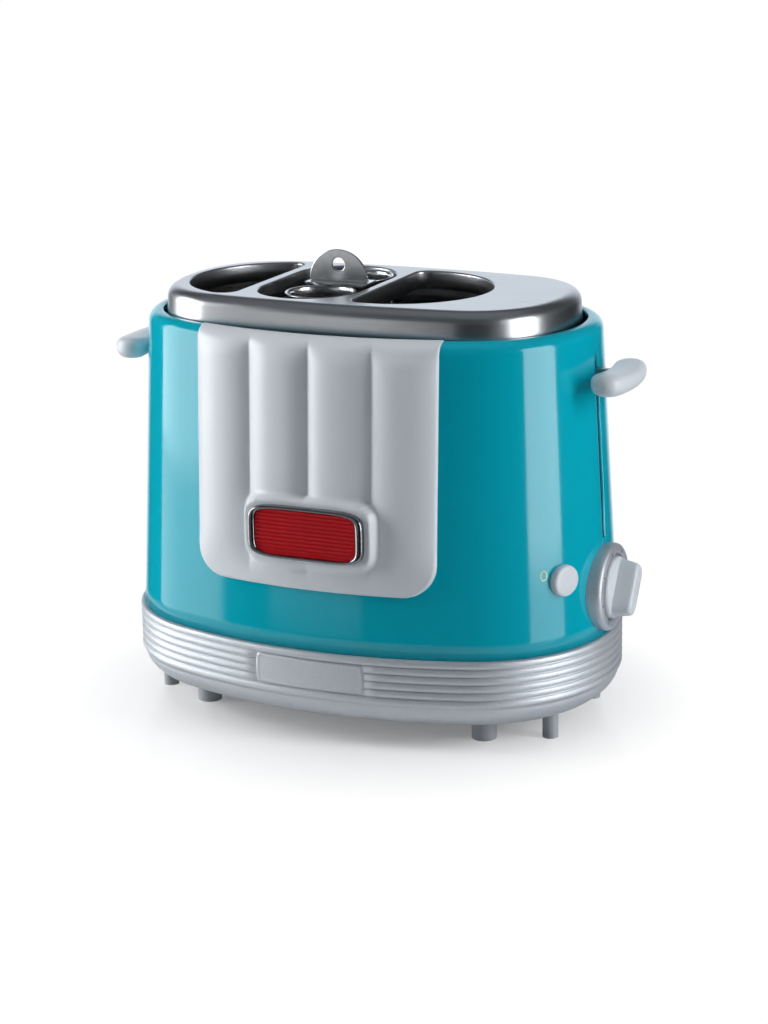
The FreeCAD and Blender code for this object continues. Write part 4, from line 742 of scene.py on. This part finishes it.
def buildKnob():
    k = knob
    disc, back, front = k["disc"], k["back"], k["back"] + k["discThick"]
    profile = [(0, back), (disc - 0.4, back), (disc, back + 0.4), (disc, back + 2.6),
               (disc - 0.4, back + 3.4), (disc - 1.3, front), (0, front + k["crown"])]
    parts = [turned(profile, 96, "x", (0, 0, dial["high"]))]
    # the grip: a rounded bar that narrows away from the disc, turned about the knob's axis
    theta = np.linspace(0, 2 * math.pi, 96, endpoint=False)
    a, b = k["gripHalf"], k["gripWide"] / 2
    lengthways, across = roundedOblong(theta, a, b, k["power"])
    level, size = np.array(k["levels"])[:, None], np.array(k["sizes"])[:, None]
    u = lengthways * size
    v = across * (1 - (1 - size) * a * k["thinner"] / b)
    turn = math.radians(k["turn"])
    y = v * math.cos(turn) + u * math.sin(turn)
    z = u * math.cos(turn) - v * math.sin(turn)
    grip = np.stack([front + (k["far"] - front) * level + 0 * y, y, z + dial["high"]], -1)
    gripFaces = flipped(gridFaces(len(level), len(theta), closed=True))
    addCap(gripFaces, (len(level) - 1) * len(theta), len(theta), flip=True)
    points, faces = joinParts(parts + [(grip, gripFaces)])
    obj = makeObject("browningKnob", points, faces, "knob", white)
    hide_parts("browning_knob")


buildDial()
buildDialMarks()
buildKnob()
print("knob made")


# stop button and the ring printed beside it

button = {"turn": 28.0, "high": 89.0, "radius": 8.3, "proud": 3.6, "sunk": 3.6}
offMark = {"near": (114.8, -47.0), "high": 93.2, "wide": 4.4, "tall": 5.6, "line": 0.7, "proud": 0.12}


def placeAlong(points, spot, way):
    # local x goes along a level direction, y sideways and z up
    side, up = np.array([-way[1], way[0], 0.0]), np.array([0.0, 0, 1])
    flat = points.reshape(-1, 3)
    return (spot + flat[:, :1] * way + flat[:, 1:2] * side + flat[:, 2:3] * up).reshape(points.shape)


def wallSpot(path, normal, index, high):
    # the place on the leaning wall over one point of the outline
    return np.array([*(path[index] - normal[index] * leanAt(high)), high])


def buildButton():
    b = button
    path, normal = housingPath()
    turn = math.radians(b["turn"])
    way = np.array([math.cos(turn), -math.sin(turn), 0.0])
    # the sample of the outline that faces the button's way most nearly
    spot = wallSpot(path, normal, int(np.argmax(normal @ way[:2])), b["high"])
    r, face = b["radius"], b["proud"]
    profile = [(0, -b["sunk"]), (r, -b["sunk"]), (r, face - 1.6), (r - 0.2, face - 0.8),
               (r - 0.7, face - 0.25), (r - 1.4, face - 0.02), (r - 3, face), (0, face - 0.1)]
    points, faces = turned(profile, 64, "x")
    obj = makeObject("stopButton", placeAlong(points, spot, way), faces, "button", white)
    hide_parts("stop_button")


def buildMark():
    # the ring printed beside the button, for off, tilted to follow the leaning wall
    m = offMark
    path, normal = housingPath()
    index = int(np.argmin(np.hypot(path[:, 0] - m["near"][0], path[:, 1] - m["near"][1])))
    spot = wallSpot(path, normal, index, m["high"])
    t = np.linspace(0, 2 * math.pi, 64, endpoint=False)
    rows = []
    for grow, out in ((0.0, 0.0), (0.0, m["proud"]), (-m["line"], m["proud"]), (-m["line"], 0.0)):
        across, up = (m["wide"] / 2 + grow) * np.cos(t), (m["tall"] / 2 + grow) * np.sin(t)
        rows.append(np.stack([out - housing["lean"] * up, across, up], 1))
    points = placeAlong(np.stack(rows), spot, np.array([*normal[index], 0.0]))
    faces = flipped(gridFaces(len(rows), len(t), closed=True))
    makeObject("offMark", points, faces, "housing", ink, smooth=False)


buildButton()
buildMark()
print("button made")


# sausage basket and its finger tab

basket = {"x": -18.8, "y": 24.5, "radius": 18.8, "top": 228.6, "low": 119.5, "wires": 6, "wire": 1.0,
          "midWire": 0.8, "barWire": 0.9, "wireIn": 1.2, "barEnd": 1.5, "rim": 9.0}
tab = {"half": 17.3, "hole": 3.7, "holeUp": 9.2, "thick": 1.2, "bevel": 0.3}


def buildCages():
    b = basket
    r, top, foot, hem = b["radius"], b["top"], b["low"] + b["wire"], b["top"] - b["rim"]
    # a drawn collar with a rolled lip: up its outside, over the lip and down its inside
    collar = [(r - 1.6, hem), (r - 1.0, hem), (r - 1.0, top - 2.2), (r - 0.6, top - 1.2),
              (r - 0.1, top - 0.6), (r, top - 0.25), (r - 0.3, top), (r - 1.0, top - 0.1),
              (r - 1.5, top - 0.9), (r - 1.7, top - 2.4), (r - 1.7, hem + 0.2), (r - 1.6, hem)]
    a = np.linspace(0, 2 * math.pi, 48, endpoint=False)
    wireAt = r - b["wireIn"]
    parts = []
    for y in (-b["y"], b["y"]):
        # the collar stands on upright wires, with a ring at their foot and one half way up
        parts.append(turned(collar, 72, "z", (b["x"], y, 0)))
        for z, wire in ((foot, b["wire"]), ((b["low"] + top) / 2, b["midWire"])):
            loop = np.stack([b["x"] + wireAt * np.cos(a), y + wireAt * np.sin(a), np.full_like(a, z)], 1)
            parts.append(tubeAlong(loop, wire, closed=True))
        for i in range(b["wires"]):
            angle = 2 * math.pi * (i + 0.5) / b["wires"]
            wx, wy = b["x"] + wireAt * math.cos(angle), y + wireAt * math.sin(angle)
            parts.append(tubeAlong([(wx, wy, foot), (wx, wy, hem + 1)], b["wire"]))
        # two crossed bars that the sausage stands on
        half = r - b["barEnd"]
        for dx, dy in ((half, 0), (0, half)):
            bar = [(b["x"] - dx, y - dy, foot), (b["x"] + dx, y + dy, foot)]
            parts.append(tubeAlong(bar, b["barWire"]))
    points, faces = joinParts(parts)
    obj = makeObject("sausageCages", points, faces, "basket", bright)
    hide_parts("basket_cage")


def buildTab():
    # a half disc meshed from its hole outwards; reach is how far its edge is from the hole's centre, the
    # nearer of its arc and its flat foot
    d, b = tab, basket
    t = np.linspace(0, 2 * math.pi, 120, endpoint=False)
    c, s, up = np.cos(t), np.sin(t), d["holeUp"]
    toArc = -up * s + np.sqrt(np.maximum((up * s) ** 2 - (up ** 2 - d["half"] ** 2), 0))
    toFoot = np.where(s < -1e-6, -up / np.minimum(s, -1e-6), 1e9)
    reach = np.minimum(toArc, toFoot)
    centreZ = b["top"] + d["thick"] + up
    rings = []
    for f in (0.0, 0.5, 1.0):
        r = d["hole"] + (reach - d["hole"]) * f
        rings.append(np.stack([b["x"] + r * c, np.full_like(c, -d["thick"] / 2), centreZ + r * s], 1))
    faces = gridFaces(len(rings), len(t), closed=True)
    obj = makeObject("fingerTab", np.stack(rings), faces, "basket", bright, smooth=False)
    finish(obj, d["thick"], bevel=d["bevel"])
    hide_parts("basket_tab")


buildCages()
buildTab()
print("basket made")


# floor, backdrop, camera and lamps

# focal is in pixels of a frame that is frameHigh pixels tall
view = {"azimuth": 24.64, "elevation": 15.74, "distance": 1361.56, "roll": -1.05, "focal": 2489.5,
        "aimX": 4.14, "aimZ": 102.78, "sensor": 36, "frameHigh": 1024}
# the floor fades to plain white between fadeFrom and fadeTo, and gloss stops seeing it between edge's two
floor = {"half": 6.0, "colour": (0.82, 0.82, 0.82), "rough": 0.16, "gloss": 0.40, "glow": 0.155,
         "narrow": (0.92, 1, 1), "fadeFrom": 0.080, "fadeTo": 0.165, "edge": (0.22, 0.26), "white": 1.02}
# what gloss sees: a pale sweep that comes in between behind's two cosines and fades out between fall's two
# heights, a glow from dark to front over the horizon, and some light above
studio = {"ambient": (0.125, 0.137, 0.155), "tint": (0.92, 0.99, 1.07), "behind": (0.84, 0.93), "sweep": 1.10,
          "fall": (0.40, 0.62), "above": 0.12, "overhead": (0.70, 0.90), "dark": 0.02, "front": 0.06,
          "horizon": (0.05, 0.15)}
# a lamp without shine only lights, and one without light only shows as a highlight
lamps = {
    "leftKey": {"place": (-1.20, -0.49, 0.42), "aim": (0, 0, 0.13), "size": (0.42, 1.1), "power": 18.0,
                "colour": (1.0, 0.99, 0.96), "shine": False},
    "rightKey": {"place": (1.20, 0.02, 0.42), "aim": (0, 0, 0.13), "size": (0.30, 1.1), "power": 10.8,
                 "shine": False},
    "topFill": {"place": (0.0, -0.2, 1.3), "aim": (0, 0, 0.2), "size": (0.7, 0.7), "power": 3.0,
                "shine": False},
    "leftStrip": {"place": (-1.22, -0.43, 0.2), "aim": (-0.087, -0.06, 0.2), "size": (0.97, 1.4),
                  "power": 9.6, "light": False},
    "leftStripUpper": {"place": (-1.21, -0.43, 0.41), "aim": (-0.087, -0.06, 0.41), "size": (0.97, 0.98),
                       "power": 6.5, "light": False},
    "rightStrip": {"place": (1.356, -0.165, 0.2), "aim": (0.115, -0.045, 0.2), "size": (0.74, 1.4),
                   "power": 8.0, "light": False},
    "rightStripUpper": {"place": (1.346, -0.165, 0.37), "aim": (0.115, -0.045, 0.37), "size": (0.74, 1.06),
                        "power": 6.8, "light": False},
    "frontPanel": {"place": (-0.505, -1.22, 0.12), "aim": (0.0, -0.06, 0.12), "size": (0.6, 0.68),
                   "power": 0.76, "light": False}}


def buildCamera():
    v = view
    az, el, roll = (math.radians(v[key]) for key in ("azimuth", "elevation", "roll"))
    back = Vector((math.sin(az) * math.cos(el), -math.cos(az) * math.cos(el), math.sin(el)))
    right = Vector((math.cos(az), math.sin(az), 0))
    up = back.cross(right)
    eye = right * v["aimX"] + Vector((0, 0, v["aimZ"])) + back * v["distance"]
    rolledRight = right * math.cos(roll) + up * math.sin(roll)
    rolledUp = up * math.cos(roll) - right * math.sin(roll)
    camera = bpy.data.cameras.new("camera")
    camera.sensor_fit = "VERTICAL"
    camera.sensor_height = v["sensor"]
    camera.lens = v["focal"] * v["sensor"] / v["frameHigh"]
    camera.clip_start = 0.01
    obj = bpy.data.objects.new("camera", camera)
    bpy.context.scene.collection.objects.link(obj)
    matrix = obj.matrix_world.copy()
    for i in range(3):
        matrix[i][0], matrix[i][1] = rolledRight[i], rolledUp[i]
        matrix[i][2], matrix[i][3] = back[i], eye[i] * mm
    obj.matrix_world = matrix
    bpy.context.scene.camera = obj


def lamp(name, place, aim, size, power, colour=(1, 1, 1), shine=True, light=True):
    # a softbox, placed and sized in metres, with its power in watts
    data = bpy.data.lights.new(name, "AREA")
    data.energy = power
    data.color = colour
    data.shape = "RECTANGLE"
    data.size, data.size_y = size
    obj = bpy.data.objects.new(name, data)
    bpy.context.scene.collection.objects.link(obj)
    obj.location = place
    obj.rotation_euler = (Vector(aim) - Vector(place)).to_track_quat("-Z", "Y").to_euler()
    obj.visible_camera = False
    obj.visible_glossy = shine
    obj.visible_diffuse = light


def calc(tree, operation, one, two):
    # one Math node on two links or numbers
    node = tree.nodes.new("ShaderNodeMath")
    node.operation = operation
    for place, value in zip(node.inputs, (one, two)):
        if isinstance(value, (int, float)):
            place.default_value = value
        else:
            tree.links.new(value, place)
    return node.outputs[0]


def vectorNode(tree, operation, vector, other=None):
    node = tree.nodes.new("ShaderNodeVectorMath")
    node.operation = operation
    tree.links.new(vector, node.inputs[0])
    if other:
        node.inputs[1].default_value = other
    return node


def glow(tree, kind, colour, strength):
    # an Emission or Background shader of a plain colour
    node = tree.nodes.new(kind)
    node.inputs["Color"].default_value = (*colour, 1)
    node.inputs["Strength"].default_value = strength
    return node


def mixShaders(tree, factor, one, two):
    mix = tree.nodes.new("ShaderNodeMixShader")
    tree.links.new(factor, mix.inputs["Fac"])
    tree.links.new(one, mix.inputs[1])
    tree.links.new(two, mix.inputs[2])
    return mix.outputs["Shader"]


def rayKinds(tree):
    # whether a ray comes from the camera, and whether it comes off gloss or through glass
    ray = tree.nodes.new("ShaderNodeLightPath")
    shiny = calc(tree, "MAXIMUM", ray.outputs["Is Glossy Ray"], ray.outputs["Is Transmission Ray"])
    return ray.outputs["Is Camera Ray"], shiny


def buildFloor():
    # near the toaster the floor takes shadow and a faint reflection; further off it fades to plain white
    f = floor
    mesh = bpy.data.meshes.new("floor")
    s = f["half"]
    mesh.from_pydata([(-s, -s, 0), (s, -s, 0), (s, s, 0), (-s, s, 0)], [], [(0, 1, 2, 3)])
    obj = bpy.data.objects.new("floor", mesh)
    bpy.context.scene.collection.objects.link(obj)
    mat, tree, shader = newMaterial("floorWhite")
    shader.inputs["Base Color"].default_value = (*f["colour"], 1)
    shader.inputs["Roughness"].default_value = f["rough"]
    shader.inputs["Specular IOR Level"].default_value = f["gloss"]
    shader.inputs["Emission Color"].default_value = (1, 1, 1, 1)
    where = tree.nodes.new("ShaderNodeTexCoord")
    narrow = vectorNode(tree, "MULTIPLY", where.outputs["Object"], f["narrow"])
    distance = vectorNode(tree, "LENGTH", narrow.outputs[0]).outputs["Value"]
    seen, shiny = rayKinds(tree)
    tree.links.new(calc(tree, "MULTIPLY", seen, f["glow"]), shader.inputs["Emission Strength"])
    plain = glow(tree, "ShaderNodeEmission", (1, 1, 1), f["white"])
    fade = mapRange(tree, distance, 0.0, 1.0, f["fadeFrom"], f["fadeTo"])
    faded = calc(tree, "MULTIPLY", fade, seen)
    whole = mixShaders(tree, faded, shader.outputs["BSDF"], plain.outputs["Emission"])
    # gloss looks past the table's edge to the softboxes and the backdrop
    clear = tree.nodes.new("ShaderNodeBsdfTransparent")
    beyond = mapRange(tree, distance, 0.0, 1.0, *f["edge"])
    through = calc(tree, "MULTIPLY", beyond, shiny)
    whole = mixShaders(tree, through, whole, clear.outputs["BSDF"])
    tree.links.new(whole, tree.nodes["Material Output"].inputs["Surface"])
    mesh.materials.append(mat)


def buildWorld():
    # soft fill for matt surfaces; gloss sees a dark studio with a pale sweep behind; the camera sees white
    world = bpy.data.worlds.new("studio")
    world.use_nodes = True
    bpy.context.scene.world = world
    tree = world.node_tree
    az = math.radians(view["azimuth"])
    where = tree.nodes.new("ShaderNodeTexCoord").outputs["Generated"]
    away = vectorNode(tree, "DOT_PRODUCT", where, (-math.sin(az), math.cos(az), 0)).outputs["Value"]
    split = tree.nodes.new("ShaderNodeSeparateXYZ")
    tree.links.new(where, split.inputs[0])
    height = split.outputs["Z"]
    behind = mapRange(tree, away, 0.0, studio["sweep"], *studio["behind"])
    level = mapRange(tree, height, 1.0, 0.0, *studio["fall"])
    above = mapRange(tree, height, 0.0, studio["above"], *studio["overhead"])
    ahead = mapRange(tree, height, studio["dark"], studio["front"], *studio["horizon"])
    sweep = calc(tree, "ADD", calc(tree, "MULTIPLY", behind, level), calc(tree, "ADD", above, ahead))
    backdrop = glow(tree, "ShaderNodeBackground", studio["tint"], 1.0)
    tree.links.new(sweep, backdrop.inputs["Strength"])
    plain = glow(tree, "ShaderNodeBackground", (1, 1, 1), floor["white"])
    fill = tree.nodes["Background"]
    fill.inputs["Color"].default_value = (*studio["ambient"], 1)
    fill.inputs["Strength"].default_value = 1.0
    seen, shiny = rayKinds(tree)
    whole = mixShaders(tree, shiny, fill.outputs["Background"], backdrop.outputs["Background"])
    whole = mixShaders(tree, seen, whole, plain.outputs["Background"])
    tree.links.new(whole, tree.nodes["World Output"].inputs["Surface"])


buildCamera()
buildFloor()
buildWorld()
for name, settings in lamps.items():
    lamp(name, **settings)
bpy.context.scene.view_settings.view_transform = "Standard"
print("stage made")
